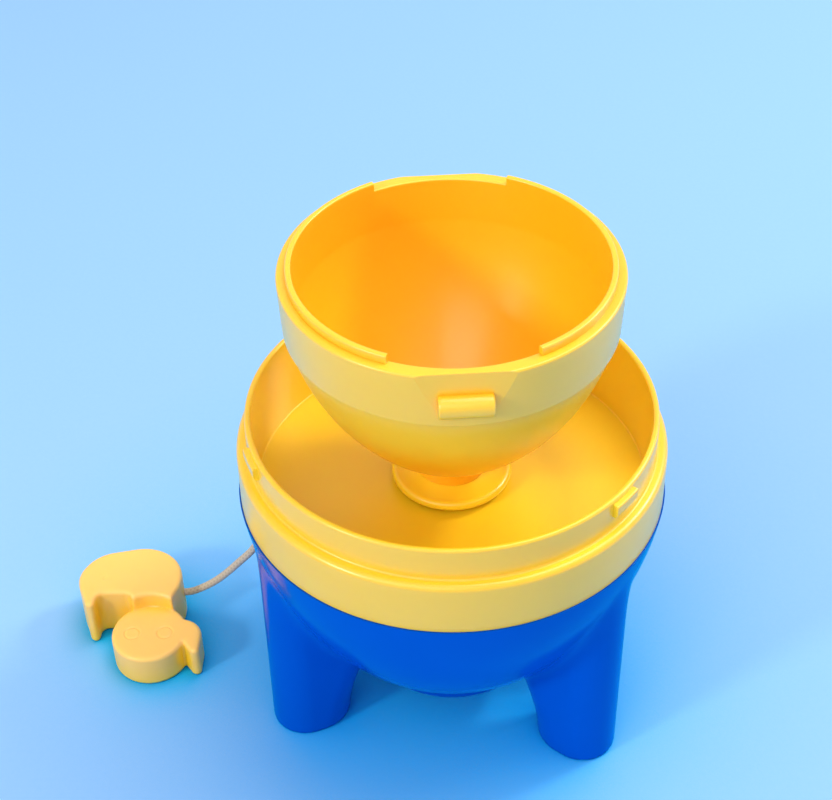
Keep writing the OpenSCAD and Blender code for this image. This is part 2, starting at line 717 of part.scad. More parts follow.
// The larger washer that carries the drum, round its arbor
module drum_washer() color("ivory")
    ring(arbor_r + drum_washer_w, arbor_r + seat_gap, washer_t, plate_top_z + end_play);

// The drum and its arbor, on one bore
module cord_drum() color("whitesmoke") rotate([0, 0, cup_turn]) difference() {
    union() {
        translate([0, 0, drum_bottom_z]) cylinder(r = core_r, h = drum_top_z - drum_bottom_z);
        for (z = [drum_bottom_z, drum_top_z - flange_t]) translate([0, 0, z]) cylinder(r = flange_r, h = flange_t);
        translate([0, 0, arbor_z]) cylinder(r = arbor_r, h = drum_bottom_z - arbor_z + tiny);
    }
    translate([0, 0, arbor_z - 1]) cylinder(r = spindle_r + seat_gap, h = drum_top_z - arbor_z + 2);
    translate([0, 0, pin_z]) rotate([0, 90, 0]) cylinder(r = pin_r + seat_gap / 2, h = 4 * arbor_r, center = true);
    // The slot for the spring's inner end
    rotate([0, 0, -cup_turn]) translate([arbor_r - 1, -strip_t / 2, arbor_z - 1])
        cube([2, 2 * strip_t, strip_h + 2]);
}

module drum_pin() color("silver") rotate([0, 0, cup_turn]) translate([0, 0, pin_z]) rotate([0, 90, 0])
    cylinder(r = pin_r - tiny, h = 2 * arbor_r - 0.2, center = true);

// The cord that lies on the drum: one helix down to where the cord leaves it
wound_steps = ceil(24 * wound_turns);
wound_points = [for (i = [0 : wound_steps]) let (a = 90 - 360 * wound_turns * (1 - i / wound_steps))
                [wind_r * cos(a), wind_r * sin(a), wind_bottom_z + wound_pitch * wound_turns * (1 - i / wound_steps)]];

// Least distance between the surfaces of the winding's turns, measured on points half a turn or more apart
function self_gap(p, apart) = min([for (i = [0 : len(p) - 1 - apart], j = [i + apart : len(p) - 1])
                                   norm(p[i] - p[j])]) - 2 * cord_r;
echo(winding_gap = self_gap(wound_points, 12));

module cord_winding() color("tan") tube(wound_points, cord_r, 6);

// The hub: a shallow saucer with a raised seat and a boss with two flats
module drive_hub() color("gold") rotate([0, 0, cup_turn]) difference() {
    union() {
        translate([0, 0, hub_z]) turned() difference() {
            union() {
                square([hub_r - hub_rim_h / 2, seat_h]);
                translate([hub_r - hub_rim_h / 2, hub_rim_h / 2]) circle(r = hub_rim_h / 2, $fn = 48);
            }
            // The dish between the seat and the rim
            translate([(seat_r + hub_r) / 2 - 0.3, seat_h + dish_r() - (seat_h - hub_rim_h) - 0.6])
                circle(r = dish_r(), $fn = 96);
            translate([hub_r - hub_rim_h / 2, hub_rim_h]) square([hub_r, hub_r]);
        }
        translate([0, 0, hub_seat_z - tiny]) intersection() {
            cylinder(r = drive_r, h = drive_h + tiny);
            translate([-drive_r, -drive_flats / 2, 0]) cube([2 * drive_r, drive_flats, drive_h + 1]);
        }
    }
    difference() {
        translate([0, 0, hub_z - 1]) cylinder(r = spindle_r + seat_gap, h = drive_z - hub_z + 2);
        translate([-spindle_r - 1, -spindle_r - 1, hub_z])
            cube([2 * spindle_r + 2, spindle_flat + 1 - seat_gap, drive_z - hub_z + 1]);
    }
}

// Radius of the hub's dish
function dish_r() = 4.5;

// Half of the cup's outside, turned round the spin axis
module cup_outside() {
    intersection() {
        translate([cup_arc_x, cup_arc_z]) circle(r = cup_arc_r, $fn = 180);
        translate([0, drive_z]) square([cup_r, cup_band_z - drive_z + tiny]);
    }
    polygon([[0, cup_band_z], [cup_r - cup_band_taper, cup_band_z], [cup_r, cup_rim_z - 0.4],
             [cup_r - 0.4, cup_rim_z], [0, cup_rim_z]]);
    translate([0, cup_rim_z - tiny]) square([cup_inner_r + tongue_t, tongue_h + tiny]);
    translate([0, hub_seat_z]) square([neck_r, drive_z - hub_seat_z + 2]);
}

// Half of the cup's inside
module cup_inside() intersection() {
    translate([cup_arc_x, cup_arc_z]) circle(r = cup_arc_r - cup_wall, $fn = 180);
    translate([0, cup_floor_z]) square([cup_inner_r, 100]);
}

// The lower half of the capsule
module egg_cup() color("gold") rotate([0, 0, cup_turn]) {
    difference() {
        turned() difference() {
            cup_outside();
            cup_inside();
        }
        // Gaps in the tongue, at the latch and behind it
        for (a = [0, 180]) rotate([0, 0, a]) translate([0, 0, cup_rim_z])
            linear_extrude(tongue_h + 1) sector(tongue_gap / 2, cup_r + 2);
        // The recesses above the latch bars
        for (a = [0, 180]) rotate([0, 0, a]) difference() {
            translate([0, 0, cup_rim_z]) rotate([90, 0, 0]) linear_extrude(cup_r + 2)
                polygon([[-recess_w / 2, tongue_h + 1], [-recess_w / 2, 0], [-latch_w / 2, -latch_drop + latch_r],
                         [latch_w / 2, -latch_drop + latch_r], [recess_w / 2, 0], [recess_w / 2, tongue_h + 1]]);
            translate([0, 0, cup_band_z]) cylinder(r = cup_r - recess_depth, h = cup_band_h + tongue_h + 2);
        }
        // The socket for the driving boss, and the screw's hole and recess
        translate([0, 0, hub_seat_z - 1]) intersection() {
            cylinder(r = drive_r + seat_gap, h = drive_h + 1.1);
            translate([-drive_r - 1, -drive_flats / 2 - seat_gap, 0])
                cube([2 * drive_r + 2, drive_flats + 2 * seat_gap, drive_h + 1.1]);
        }
        translate([0, 0, drive_z - 1]) cylinder(r = shank_r + screw_gap, h = cup_floor_t + 2);
        translate([0, 0, cup_floor_z - head_h]) cylinder(r = head_r + screw_gap, h = head_h + 1);
    }
    // The half-round latch bars on the band
    for (a = [0, 180]) rotate([0, 0, a]) difference() {
        translate([-latch_w / 2, -cup_r + recess_depth / 2, latch_z]) rotate([0, 90, 0])
            cylinder(r = latch_r, h = latch_w);
        cylinder(r = cup_r - cup_band_taper - 1, h = cup_rim_z);
    }
}

module cup_screw() color("silver") rotate([0, 0, cup_turn]) translate([0, 0, cup_floor_z]) rotate([180, 0, 0])
    screw(head_r, head_h, shank_r - tiny, cup_floor_t - head_h + 5);

// The free stretch of the cord, straight from the drum through the eyelet, then along its route to the
// knot in the pull
module cord_free() color("tan") tube(concat(
    [[-0.2, exit_y, exit_z], [eyelet_x / 2, exit_y, exit_z], [eyelet_x - 1.2, exit_y, exit_z - 0.1]],
    cord_route, [[knot_x + knot_r + 0.1, hole_y, hole_z]]), cord_r);

module cord_knot() color("tan") translate([knot_x, hole_y, hole_z]) sphere(r = knot_r, $fn = 32);

// The pull, drawn upright and laid on the table with its head towards the front
module pull_body() difference() {
    union() {
        capsule([0, 0], breast_r, rump_at, rump_r);
        capsule(tail_root_at, tail_root_r, tail_tip_at, tail_tip_r);
        translate([neck_left, 0]) square([neck_w, neck_top]);
    }
    translate(back_cut_at) circle(r = back_cut_r);
    translate(duck_head_at) circle(r = duck_head_r - head_step);
    translate([neck_left - 1, duck_head_at[1] - 4]) square([neck_w + 2, 10]);
}

module pull_head() {
    translate(duck_head_at) circle(r = duck_head_r);
    difference() {
        capsule(bill_at, bill_r, bill_tip_at, bill_tip_r);
        polygon([bill_notch, bill_notch + [-2.4, 3.2], bill_notch + [-2.4, 6], bill_notch + [7, 6], bill_notch + [7, 0]]);
    }
}

module pull_duck() color("khaki") difference() {
    translate([pull_x, pull_y, 0]) rotate([0, 0, 180]) difference() {
        union() {
            linear_extrude(pull_t) pull_body();
            linear_extrude(head_t) pull_head();
        }
        for (p = mark_at) translate([p[0], p[1], head_t]) difference() {
            cylinder(r = mark_r, h = 2 * mark_depth, center = true);
            cylinder(r = mark_r - 0.5, h = 4 * mark_depth, center = true);
        }
    }
    translate([pocket_x, hole_y, hole_z]) rotate([0, 90, 0])
        cylinder(r = cord_r + cord_gap, h = pull_t * 2);
    translate([pocket_x, hole_y, -1]) cylinder(r = pocket_r, h = hole_z + knot_r + 1.5);
}

base_shell();
deck_collar();
bottom_cap();
upper_bush();
lower_bush();
drum_frame();
spring_cover();
mainspring();
frame_screws();
cover_screws();
shell_screws();
cord_eyelet();
spindle();
retaining_ring();
thrust_washers();
drum_washer();
cord_drum();
drum_pin();
cord_winding();
drive_hub();
egg_cup();
cup_screw();
cord_free();
cord_knot();
pull_duck();
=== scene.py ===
# %% [markdown]
# # A pull-cord egg spinner, dressed for the camera
#
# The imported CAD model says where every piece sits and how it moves. This lesson puts looks on it.
# What the eye sees is modelled again with soft moulded edges, and what is hidden keeps its CAD
# form and gets a real material. Sizes are in millimetres until a piece is finished; then they
# become metres.

# %% Load the CAD frame
import math

import bmesh
import bpy
import numpy as np
from mathutils import Matrix, Vector


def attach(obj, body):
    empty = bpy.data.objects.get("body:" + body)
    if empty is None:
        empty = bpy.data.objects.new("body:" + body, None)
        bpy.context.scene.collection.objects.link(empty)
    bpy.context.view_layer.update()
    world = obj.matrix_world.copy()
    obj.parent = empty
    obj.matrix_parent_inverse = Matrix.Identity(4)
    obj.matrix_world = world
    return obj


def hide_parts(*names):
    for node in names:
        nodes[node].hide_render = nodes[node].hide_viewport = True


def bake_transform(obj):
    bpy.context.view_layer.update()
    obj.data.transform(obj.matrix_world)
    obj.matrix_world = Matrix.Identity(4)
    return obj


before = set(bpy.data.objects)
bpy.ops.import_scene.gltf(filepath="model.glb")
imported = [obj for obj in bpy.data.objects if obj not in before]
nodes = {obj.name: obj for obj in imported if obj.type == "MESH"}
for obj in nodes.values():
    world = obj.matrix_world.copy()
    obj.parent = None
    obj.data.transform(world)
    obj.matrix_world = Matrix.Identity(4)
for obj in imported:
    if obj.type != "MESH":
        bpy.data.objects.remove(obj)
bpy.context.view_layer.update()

# %% [markdown]
# ## The camera
#
# The photograph looks down on the spinner by about 40 degrees from less than half a metre away, so
# near edges are clearly larger than far ones. The place and the angles were fitted to the round
# rims of the cup and the collar. A focal length of 1650 pixels in a picture 832 pixels wide is a
# lens of 71 mm on a 36 mm sensor.

# %% Camera
PICTURE_WIDTH = 832
FOCAL_PIXELS = 1650
CAMERA_PLACE = (0, -0.23663, 0.27474)
CAMERA_DEGREES = (49.7294, 0.8384, 0.9001)


def put(name, data):
    """An object for some data, in the scene."""
    made = bpy.data.objects.new(name, data)
    bpy.context.scene.collection.objects.link(made)
    return made


camera_data = bpy.data.cameras.new("studio_camera")
camera_data.sensor_width = 36
camera_data.lens = camera_data.sensor_width * FOCAL_PIXELS / PICTURE_WIDTH
camera = put("studio_camera", camera_data)
camera.location = CAMERA_PLACE
camera.rotation_euler = [math.radians(angle) for angle in CAMERA_DEGREES]
bpy.context.scene.camera = camera
bpy.context.scene.view_settings.view_transform = "Standard"
print("lens:", round(camera_data.lens, 2), "mm")

# %% [markdown]
# ## Colour and node helpers
#
# A colour picked from a picture is an sRGB value, and a shader wants light in linear steps, so one
# function turns one into the other. Another adds a node, sets it and links it, whatever its kind.
# A Mix node has its factor at input 0, its colours at 6 and 7 and the mixed colour at output 2.

# %% Helpers for materials
def linear(colour):
    """An sRGB hex colour as the linear red, green, blue and alpha of a shader."""
    channels = [int(colour[i:i + 2], 16) / 255 for i in (1, 3, 5)]
    return [c / 12.92 if c <= 0.04045 else ((c + 0.055) / 1.055) ** 2.4 for c in channels] + [1]


def add(tree, kind, inputs=None, **settings):
    """Adds a shader node. An input gets a value, or a link to an output or a node's first one."""
    node = tree.nodes.new("ShaderNode" + kind)
    for name, value in settings.items():
        setattr(node, name, value)
    for name, value in (inputs or {}).items():
        if isinstance(value, bpy.types.Node):
            value = value.outputs[0]
        if isinstance(value, bpy.types.NodeSocket):
            tree.links.new(value, node.inputs[name])
        else:
            node.inputs[name].default_value = value
    return node


def empty_material(name):
    """A material with its node tree, still without nodes."""
    made = bpy.data.materials.new(name)
    made.use_nodes = True
    made.node_tree.nodes.clear()
    return made, made.node_tree


# %% [markdown]
# ## Moulded plastic
#
# The cup and the collar are injection-moulded polypropylene with a satin tool surface. The melt
# leaves a very slight drift of colour over a few centimetres, and the tool's polish leaves a fine
# waviness that breaks up reflections. Light goes a little way into the plastic before it comes
# back (red furthest, blue least), which makes its hollows glow. There light also bounces from
# wall to wall, which changes the tone. An ambient-occlusion node, which gives 1 in the open and 0
# where no sky is seen, finds those places, and a third tone is painted in there: painted bounce
# light and shade. One recipe serves every moulded piece.

# %% Moulded plastic
DRIFT_MM, COAT_ROUGHNESS = 30.0, 0.28
SOAK_SHARE, SOAK_REACH = 0.35, (1.0, 0.6, 0.15)


def moulded_plastic(name, low, high, roughness, depth_mm=0.0, ior=1.49, wave_mm=2.5,
                    wave_height=0.02, tint="#FFFFFF", coat=0.0, gloss_level=0.5,
                    hollow=None, hollow_mm=40.0):
    """Two drifting tones, faintly wavy, and a tone of painted light and shade in the hollows."""
    made, tree = empty_material(name)
    place = add(tree, "TexCoord").outputs["Object"]
    drift = add(tree, "TexNoise", {"Vector": place, "Scale": 1000 / DRIFT_MM, "Detail": 2.0})
    base = add(tree, "Mix", {0: drift, 6: linear(low), 7: linear(high)},
               data_type="RGBA").outputs[2]
    # Painted light and shade: where ambient occlusion is low, the hollow tone replaces the
    # plastic's own.
    if hollow:
        sky_seen = add(tree, "AmbientOcclusion", {"Distance": hollow_mm * 0.001}, samples=4)
        openness = add(tree, "MapRange", {"Value": sky_seen.outputs["AO"], "From Min": 0.4,
                                          "From Max": 0.8}, interpolation_type="SMOOTHSTEP")
        base = add(tree, "Mix", {0: openness, 6: linear(hollow), 7: base},
                   data_type="RGBA").outputs[2]
    wave = add(tree, "TexNoise", {"Vector": place, "Scale": 1000 / wave_mm, "Detail": 3.0})
    bump = add(tree, "Bump", {"Height": wave, "Strength": 0.25, "Distance": wave_height * 0.001})
    gloss = add(tree, "MapRange", {"Value": drift, "To Min": roughness * 0.9,
                                   "To Max": roughness * 1.1})
    shader = add(tree, "BsdfPrincipled", {
        "Base Color": base, "Roughness": gloss, "Normal": bump, "IOR": ior,
        "Specular Tint": linear(tint), "Specular IOR Level": gloss_level,
        "Coat Weight": coat, "Coat Roughness": COAT_ROUGHNESS})
    if depth_mm:
        shader.inputs["Subsurface Weight"].default_value = SOAK_SHARE
        shader.inputs["Subsurface Radius"].default_value = SOAK_REACH
        shader.inputs["Subsurface Scale"].default_value = depth_mm * 0.001
    add(tree, "OutputMaterial", {"Surface": shader})
    return made


# The cup is satin from its tool: a broad pale sheen over deep yellow, painted orange shade in
# hollows.
yellow_polypropylene = moulded_plastic(
    "yellow_polypropylene_satin", "#FFCB2C", "#FFCE32", 0.36, 0.8, ior=1.56, coat=0.55,
    hollow="#FFBA08", hollow_mm=60.0)
# The collar and the hub are of the same plastic, with golden painted bounce light in their hollows.
collar_polypropylene = moulded_plastic(
    "yellow_polypropylene_satin_painted_glow", "#FFCB2C", "#FFCE32", 0.36, 0.8, ior=1.56, coat=0.55,
    hollow="#FFE126")
# The bowl came out of a polished tool: small clear reflections, which its deep colour tints blue.
blue_abs = moulded_plastic(
    "blue_abs_polished", "#0052C4", "#0055C9", 0.15, ior=1.5, wave_height=0.012, tint="#50A0FF",
    gloss_level=0.14)
# The cap is a darker blue than the bowl and from a plainer tool, so its shine is blurred.
dark_blue_abs = moulded_plastic("blue_abs_cap", "#0048B4", "#004CB8", 0.28, tint="#50A0FF")
# The pull is soft to the touch: matt and pale, with full yellow painted shade in its notches.
pull_plastic = moulded_plastic(
    "pale_yellow_soft_touch", "#FFCB68", "#FFCE6E", 0.5, 1.2, wave_mm=1.2, coat=0.4,
    hollow="#FFCC0C", hollow_mm=16.0)
# Bushes and washers slide: acetal is milky white with a soft shine, nylon is creamy and duller.
acetal = moulded_plastic("white_acetal", "#ECECE6", "#F2F2EC", 0.35, 0.6)
nylon = moulded_plastic("natural_nylon", "#E9E2D0", "#EFE9D9", 0.4, 0.8)
print("plastics:", [m.name for m in bpy.data.materials])

# %% [markdown]
# ## Metal
#
# The spindle and the spring are bright steel, ground or rolled, and the screws and the eyelet are
# zinc or nickel plated. A fine scratch pattern, stretched along the height, gives the grain that
# grinding leaves.

# %% Metals
def metal(name, low, high, roughness, stretch):
    """Metal with a fine grain, stretched by (x, y, z)."""
    made, tree = empty_material(name)
    place = add(tree, "TexCoord").outputs["Object"]
    stretched = add(tree, "Mapping", {"Vector": place, "Scale": stretch})
    grain = add(tree, "TexNoise", {"Vector": stretched, "Scale": 1.0, "Detail": 4.0})
    colour = add(tree, "Mix", {0: grain, 6: linear(low), 7: linear(high)},
                 data_type="RGBA").outputs[2]
    gloss = add(tree, "MapRange", {"Value": grain, "To Min": roughness * 0.7,
                                   "To Max": roughness * 1.3})
    bump = add(tree, "Bump", {"Height": grain, "Strength": 0.2, "Distance": 0.00001})
    shader = add(tree, "BsdfPrincipled", {
        "Base Color": colour, "Metallic": 1.0, "Roughness": gloss, "Normal": bump})
    add(tree, "OutputMaterial", {"Surface": shader})
    return made


GRAIN = 1 / 0.0003
# Plating is even in all directions, and grinding leaves long scratches.
plated_steel = metal("zinc_plated_steel", "#C9CACB", "#DEDFDF", 0.25, (GRAIN, GRAIN, GRAIN))
bright_steel = metal("ground_steel", "#A9ABAD", "#C4C6C8", 0.22, (GRAIN, GRAIN, GRAIN / 20))
print("grain of", round(1000 / GRAIN, 2), "mm")

# %% [markdown]
# ## Braided cord
#
# The pull cord is a thin polyester braid of about 1.6 mm. Its strands cross at a slant, which the
# eye reads as small dark diamonds. Two slanting waves on the piece's own UV map, which counts
# round the cord and along it, cross to make them. A real strand is 0.3 mm wide; here it is drawn
# twice as coarse, so that it shows.

# %% Cord material
def braided(name, low, high):
    """A braid on a UV map whose U goes once round the cord and whose V counts its length in mm."""
    made, tree = empty_material(name)
    uv = add(tree, "TexCoord").outputs["UV"]
    strands = []
    for slant in (1, -1):
        turn = add(tree, "Mapping", {"Vector": uv, "Scale": (4.0, slant * 0.8, 1.0)})
        parts = add(tree, "SeparateXYZ", {"Vector": turn}).outputs
        total = add(tree, "Math", {0: parts["X"], 1: parts["Y"]}, operation="ADD")
        angle = add(tree, "Math", {0: total, 1: 2 * math.pi}, operation="MULTIPLY")
        strands.append(add(tree, "Math", {0: angle}, operation="SINE"))
    crossing = add(tree, "Math", {0: strands[0], 1: strands[1]}, operation="MAXIMUM")
    height = add(tree, "MapRange", {"Value": crossing, "From Min": -1.0})
    colour = add(tree, "Mix", {0: height, 6: linear(low), 7: linear(high)},
                 data_type="RGBA").outputs[2]
    bump = add(tree, "Bump", {"Height": height, "Strength": 0.4, "Distance": 0.00008})
    shader = add(tree, "BsdfPrincipled", {
        "Base Color": colour, "Roughness": 0.75, "Normal": bump, "Sheen Weight": 0.1})
    add(tree, "OutputMaterial", {"Surface": shader})
    return made


cord_braid = braided("polyester_braid", "#A89E8B", "#C4BBA9")
print("cord:", cord_braid.name)

# %% [markdown]
# ## The cord, from the drum to the pull
#
# A cord is a ring of points carried along a smooth curve through a few given points.

# %% Tube along a route
def smooth_route(points, steps):
    """A Catmull-Rom curve through the points, with so many steps from one to the next."""
    points = np.array(points, float)
    ends = np.vstack([2 * points[0] - points[1], points, 2 * points[-1] - points[-2]])
    route = []
    for a, b, c, d in zip(ends[:-3], ends[1:-2], ends[2:-1], ends[3:]):
        for t in np.arange(steps) / steps:
            route.append(0.5 * (2 * b + (c - a) * t + (2 * a - 5 * b + 4 * c - d) * t ** 2
                                + (3 * b - a - 3 * c + d) * t ** 3))
    return np.array(route + [points[-1]])


def cord_tube(name, route, radius, sides=16, closed=False):
    """A round tube in mm along a route, with a UV map that counts its length in mm."""
    count = len(route)
    ahead, behind = np.roll(route, -1, 0), np.roll(route, 1, 0)
    if not closed:
        ahead[-1], behind[0] = route[-1], route[0]
    along = (ahead - behind) / np.linalg.norm(ahead - behind, axis=1)[:, None]
    side = np.cross(along, (0.02, 0.01, 1.0))
    side /= np.linalg.norm(side, axis=1)[:, None]
    up = np.cross(side, along)
    turn = np.arange(sides) * 2 * math.pi / sides
    rings = (route[:, None] + radius * (side[:, None] * np.cos(turn)[None, :, None]
                                        + up[:, None] * np.sin(turn)[None, :, None]))
    verts = rings.reshape(-1, 3) * 0.001
    steps = count if closed else count - 1
    faces = [[(i + 1) % count * sides + k, (i + 1) % count * sides + (k + 1) % sides,
              i * sides + (k + 1) % sides, i * sides + k]
             for i in range(steps) for k in range(sides)]
    if not closed:
        faces += [list(range(sides)), list(range((count - 1) * sides, count * sides))[::-1]]
    mesh = bpy.data.meshes.new(name)
    mesh.from_pydata(verts.tolist(), [], faces)
    length = np.concatenate([[0], np.cumsum(np.linalg.norm(np.diff(route, axis=0), axis=1))])
    uv = mesh.uv_layers.new(name="UVMap")
    for face, polygon in zip(faces, mesh.polygons):
        for corner, vert in zip(polygon.loop_indices, face):
            ring, k = divmod(vert, sides)
            wraps = k == 0 and max(v % sides for v in face) == sides - 1
            uv.data[corner].uv = ((sides if wraps else k) / sides, length[ring])
    mesh.shade_smooth()
    return put(name, mesh)


def dress(piece, material):
    """Gives a piece its one material."""
    piece.data.materials.clear()
    piece.data.materials.append(material)


# %% [markdown]
# The free cord leaves the drum straight, passes the eyelet, hangs down in a slack arc and lies
# level where it enters the pull, as the CAD route does. When the pull is drawn away, the stretch
# past the eyelet has to grow, but this mesh is not blended between the two bodies: it stays put.

# %% Free cord
CORD_RADIUS = 0.8
EXIT_Y, EXIT_Z = 9.95, 31.7
EYELET_X = -35.46
KNOT_X, KNOT_Y, KNOT_Z, KNOT_RADIUS = -67.95, 14.6, 6.0, 1.9
cord_points = [(-0.2, EXIT_Y, EXIT_Z), (-12, EXIT_Y, EXIT_Z), (-24, EXIT_Y, EXIT_Z),
               (EYELET_X - 1.2, EXIT_Y, EXIT_Z - 0.1), (-38, 9.9, 31.1), (-39.3, 9.9, 29.9),
               (-40.5, 9.9, 27.7), (-41.7, 10, 25.1), (-43.1, 10.4, 22.7), (-45.5, 11, 19.5),
               (-48, 11.8, 16), (-50.6, 12.8, 12.5), (-53.2, 13.7, 9.6), (-55.7, 14.4, 7.4),
               (-58, 14.6, 6.2), (-61, 14.6, 6), (KNOT_X + KNOT_RADIUS + 0.1, KNOT_Y, KNOT_Z)]
cord_line = smooth_route(cord_points, 5)
free_cord = cord_tube("free_cord", cord_line, CORD_RADIUS)
dress(free_cord, cord_braid)
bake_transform(free_cord)
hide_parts("cord_free")

# %% [markdown]
# The knot in the pull's pocket is a tight overhand knot, whose loops follow the curve that
# mathematicians call a trefoil. It is too small for a loose curve, so its strands press together.

# %% Knot
KNOT_SCALE, STRAND_RADIUS = 0.37, 0.78
turns = np.linspace(0, 2 * math.pi, 72, endpoint=False)
trefoil = np.stack([np.sin(turns) + 2 * np.sin(2 * turns), np.cos(turns) - 2 * np.cos(2 * turns),
                    -np.sin(3 * turns)], axis=1) * KNOT_SCALE
knot = cord_tube("cord_end_knot", trefoil + (KNOT_X, KNOT_Y, KNOT_Z), STRAND_RADIUS, 12,
                 closed=True)
dress(knot, cord_braid)
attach(knot, "pull")
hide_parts("cord_knot")
print("knot across:", round(2 * (3 * KNOT_SCALE + STRAND_RADIUS), 1), "mm")

# %% [markdown]
# The rest of the cord lies on the drum in one even layer of six turns.

# %% Winding
WOUND_TURNS, WIND_TOP_Z = 6, 43.95
wound = np.linspace(0, 1, WOUND_TURNS * 48 + 1)
wound_angle = math.pi / 2 - 2 * math.pi * WOUND_TURNS * (1 - wound)
helix = np.stack([EXIT_Y * np.cos(wound_angle), EXIT_Y * np.sin(wound_angle),
                  EXIT_Z + (WIND_TOP_Z - EXIT_Z) * (1 - wound)], axis=1)
winding = cord_tube("wound_cord", helix, CORD_RADIUS, 12)
dress(winding, cord_braid)
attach(winding, "rotor")
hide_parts("cord_winding")
wound_length = float(np.linalg.norm(np.diff(helix, axis=0), axis=1).sum())
print("on the drum:", round(wound_length), "mm")

# %% [markdown]
# ## Tools for moulded pieces
#
# A moulded piece is mostly a section turned round its axis. Its corners are rounded first, in the
# flat section, where a vertex bevel is exact, and the section is then spun. Lugs, bosses and cuts
# are forms of their own that a Boolean joins or takes away.

# %% Turned sections
CORNER_SEGMENTS = 10


def round_off(bm, parts, rounding, segments, affect):
    """Rounds vertices of a flat section, or edges of a form."""
    bmesh.ops.bevel(bm, geom=parts, offset=rounding, offset_type="OFFSET", segments=segments,
                    profile=0.5, affect=affect, material=-1, clamp_overlap=True)


def turned(corners, steps=180, angle=360.0):
    """Spins a closed section round Z. Its corners are (radius, height, rounding) in mm."""
    bm = bmesh.new()
    section = [bm.verts.new((radius, 0, height)) for radius, height, _ in corners]
    bm.faces.new(section)
    for vert, (_, _, rounding) in zip(section, corners):
        if rounding:
            round_off(bm, [vert], rounding, CORNER_SEGMENTS, "VERTICES")
    if angle == 360:
        bmesh.ops.delete(bm, geom=bm.faces[:], context="FACES_ONLY")
        on_axis = [e for e in bm.edges if all(v.co.x < 1e-6 for v in e.verts)]
        bmesh.ops.delete(bm, geom=on_axis, context="EDGES")
    spun = bm.verts[:] + bm.edges[:] + bm.faces[:]
    bmesh.ops.spin(bm, geom=spun, axis=(0, 0, 1), cent=(0, 0, 0), dvec=(0, 0, 0), steps=steps,
                   angle=math.radians(angle), use_merge=angle == 360)
    bmesh.ops.remove_doubles(bm, verts=bm.verts, dist=1e-4)
    bmesh.ops.recalc_face_normals(bm, faces=bm.faces)
    return bm


def arc(centre, radius, low, high, count):
    """Corners, without rounding, along an arc of a section from one height to another."""
    return [(centre[0] + math.sqrt(radius ** 2 - (centre[1] - z) ** 2), z, 0)
            for z in np.linspace(low, high, count)]


# %% [markdown]
# A form is a bmesh first, an object when a modifier has to work on it, and a finished piece when
# it gets its size in metres, its material and its body.

# %% Forms and pieces
def form(bm, name):
    """A bmesh as an object, still in mm."""
    mesh = bpy.data.meshes.new(name)
    bm.to_mesh(mesh)
    bm.free()
    return put(name, mesh)


def pour(source, target):
    """Moves all of one bmesh into another, and uses it up."""
    mesh = bpy.data.meshes.new("poured")
    source.to_mesh(mesh)
    source.free()
    target.from_mesh(mesh)
    bpy.data.meshes.remove(mesh)


def apply_modifiers(piece):
    """Makes what a piece's modifiers show its own mesh."""
    graph = bpy.context.evaluated_depsgraph_get()
    graph.update()
    made = bpy.data.meshes.new_from_object(piece.evaluated_get(graph))
    piece.modifiers.clear()
    piece.data = made


def combine(piece, operation, *others):
    """Joins other forms to a piece (UNION) or cuts them out (DIFFERENCE), and uses them up."""
    for other in others:
        boolean = piece.modifiers.new("combine", "BOOLEAN")
        boolean.operation = operation
        boolean.solver = "EXACT"
        boolean.object = other
    apply_modifiers(piece)
    for other in others:
        bpy.data.objects.remove(other)


def finish_piece(piece, name, material, body, crease=32):
    """Metres, smooth shading up to a crease, a material and a body: a form becomes a piece."""
    piece.name = piece.data.name = name
    piece.data.transform(Matrix.Scale(0.001, 4))
    piece.data.shade_smooth()
    piece.data.set_sharp_from_angle(angle=math.radians(crease))
    dress(piece, material)
    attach(piece, body)
    points = np.array([v.co for v in piece.data.vertices]) * 1000
    print(name, "faces:", len(piece.data.polygons), "mm from", points.min(0).round(1),
          "to", points.max(0).round(1))


# %% [markdown]
# Small forms are made at the origin and then put in place.

# %% Places and plain forms
def at(bm, bearing=0.0, out=0.0, height=0.0):
    """Moves a form out along the front (-Y), up, and then round to a bearing towards +X."""
    place = Matrix.Rotation(math.radians(bearing), 4, "Z") @ Matrix.Translation((0, -out, height))
    bmesh.ops.transform(bm, matrix=place, verts=bm.verts)
    return bm


def along_x(bm, x, y, z):
    """Lays an upright form along X, with its foot at a point."""
    place = Matrix.Translation((x, y, z)) @ Matrix.Rotation(math.pi / 2, 4, "Y")
    bmesh.ops.transform(bm, matrix=place, verts=bm.verts)
    return bm


def box_form(low, high):
    """A box in mm between two corners."""
    bm = bmesh.new()
    bmesh.ops.create_cube(bm, size=1)
    low, high = Vector(low), Vector(high)
    bmesh.ops.scale(bm, vec=high - low, verts=bm.verts)
    bmesh.ops.translate(bm, vec=(low + high) / 2, verts=bm.verts)
    return bm


def rod(radius, low, high, steps=64):
    """An upright rod in mm between two heights."""
    bm = bmesh.new()
    bmesh.ops.create_cone(bm, cap_ends=True, segments=steps, radius1=radius, radius2=radius,
                          depth=high - low)
    bmesh.ops.translate(bm, vec=(0, 0, (low + high) / 2), verts=bm.verts)
    return bm


# %% [markdown]
# ## The bowl on three legs
#
# This is the moulding that takes the most skill: a round bowl that three legs grow out of, with a
# soft hollow where they meet. Bevelling such a seam fails, because the seam runs from a wide angle
# to none. A better way thinks of distance. Each form can say how far any point is from its
# surface; a smooth minimum of those distances is a single surface with a fillet in every seam. A
# rough union of bowl and legs is remeshed into even faces, and every point is then moved on to
# that surface.
#
# The bowl's side is one arc. Its centre is found from its two ends and its radius.

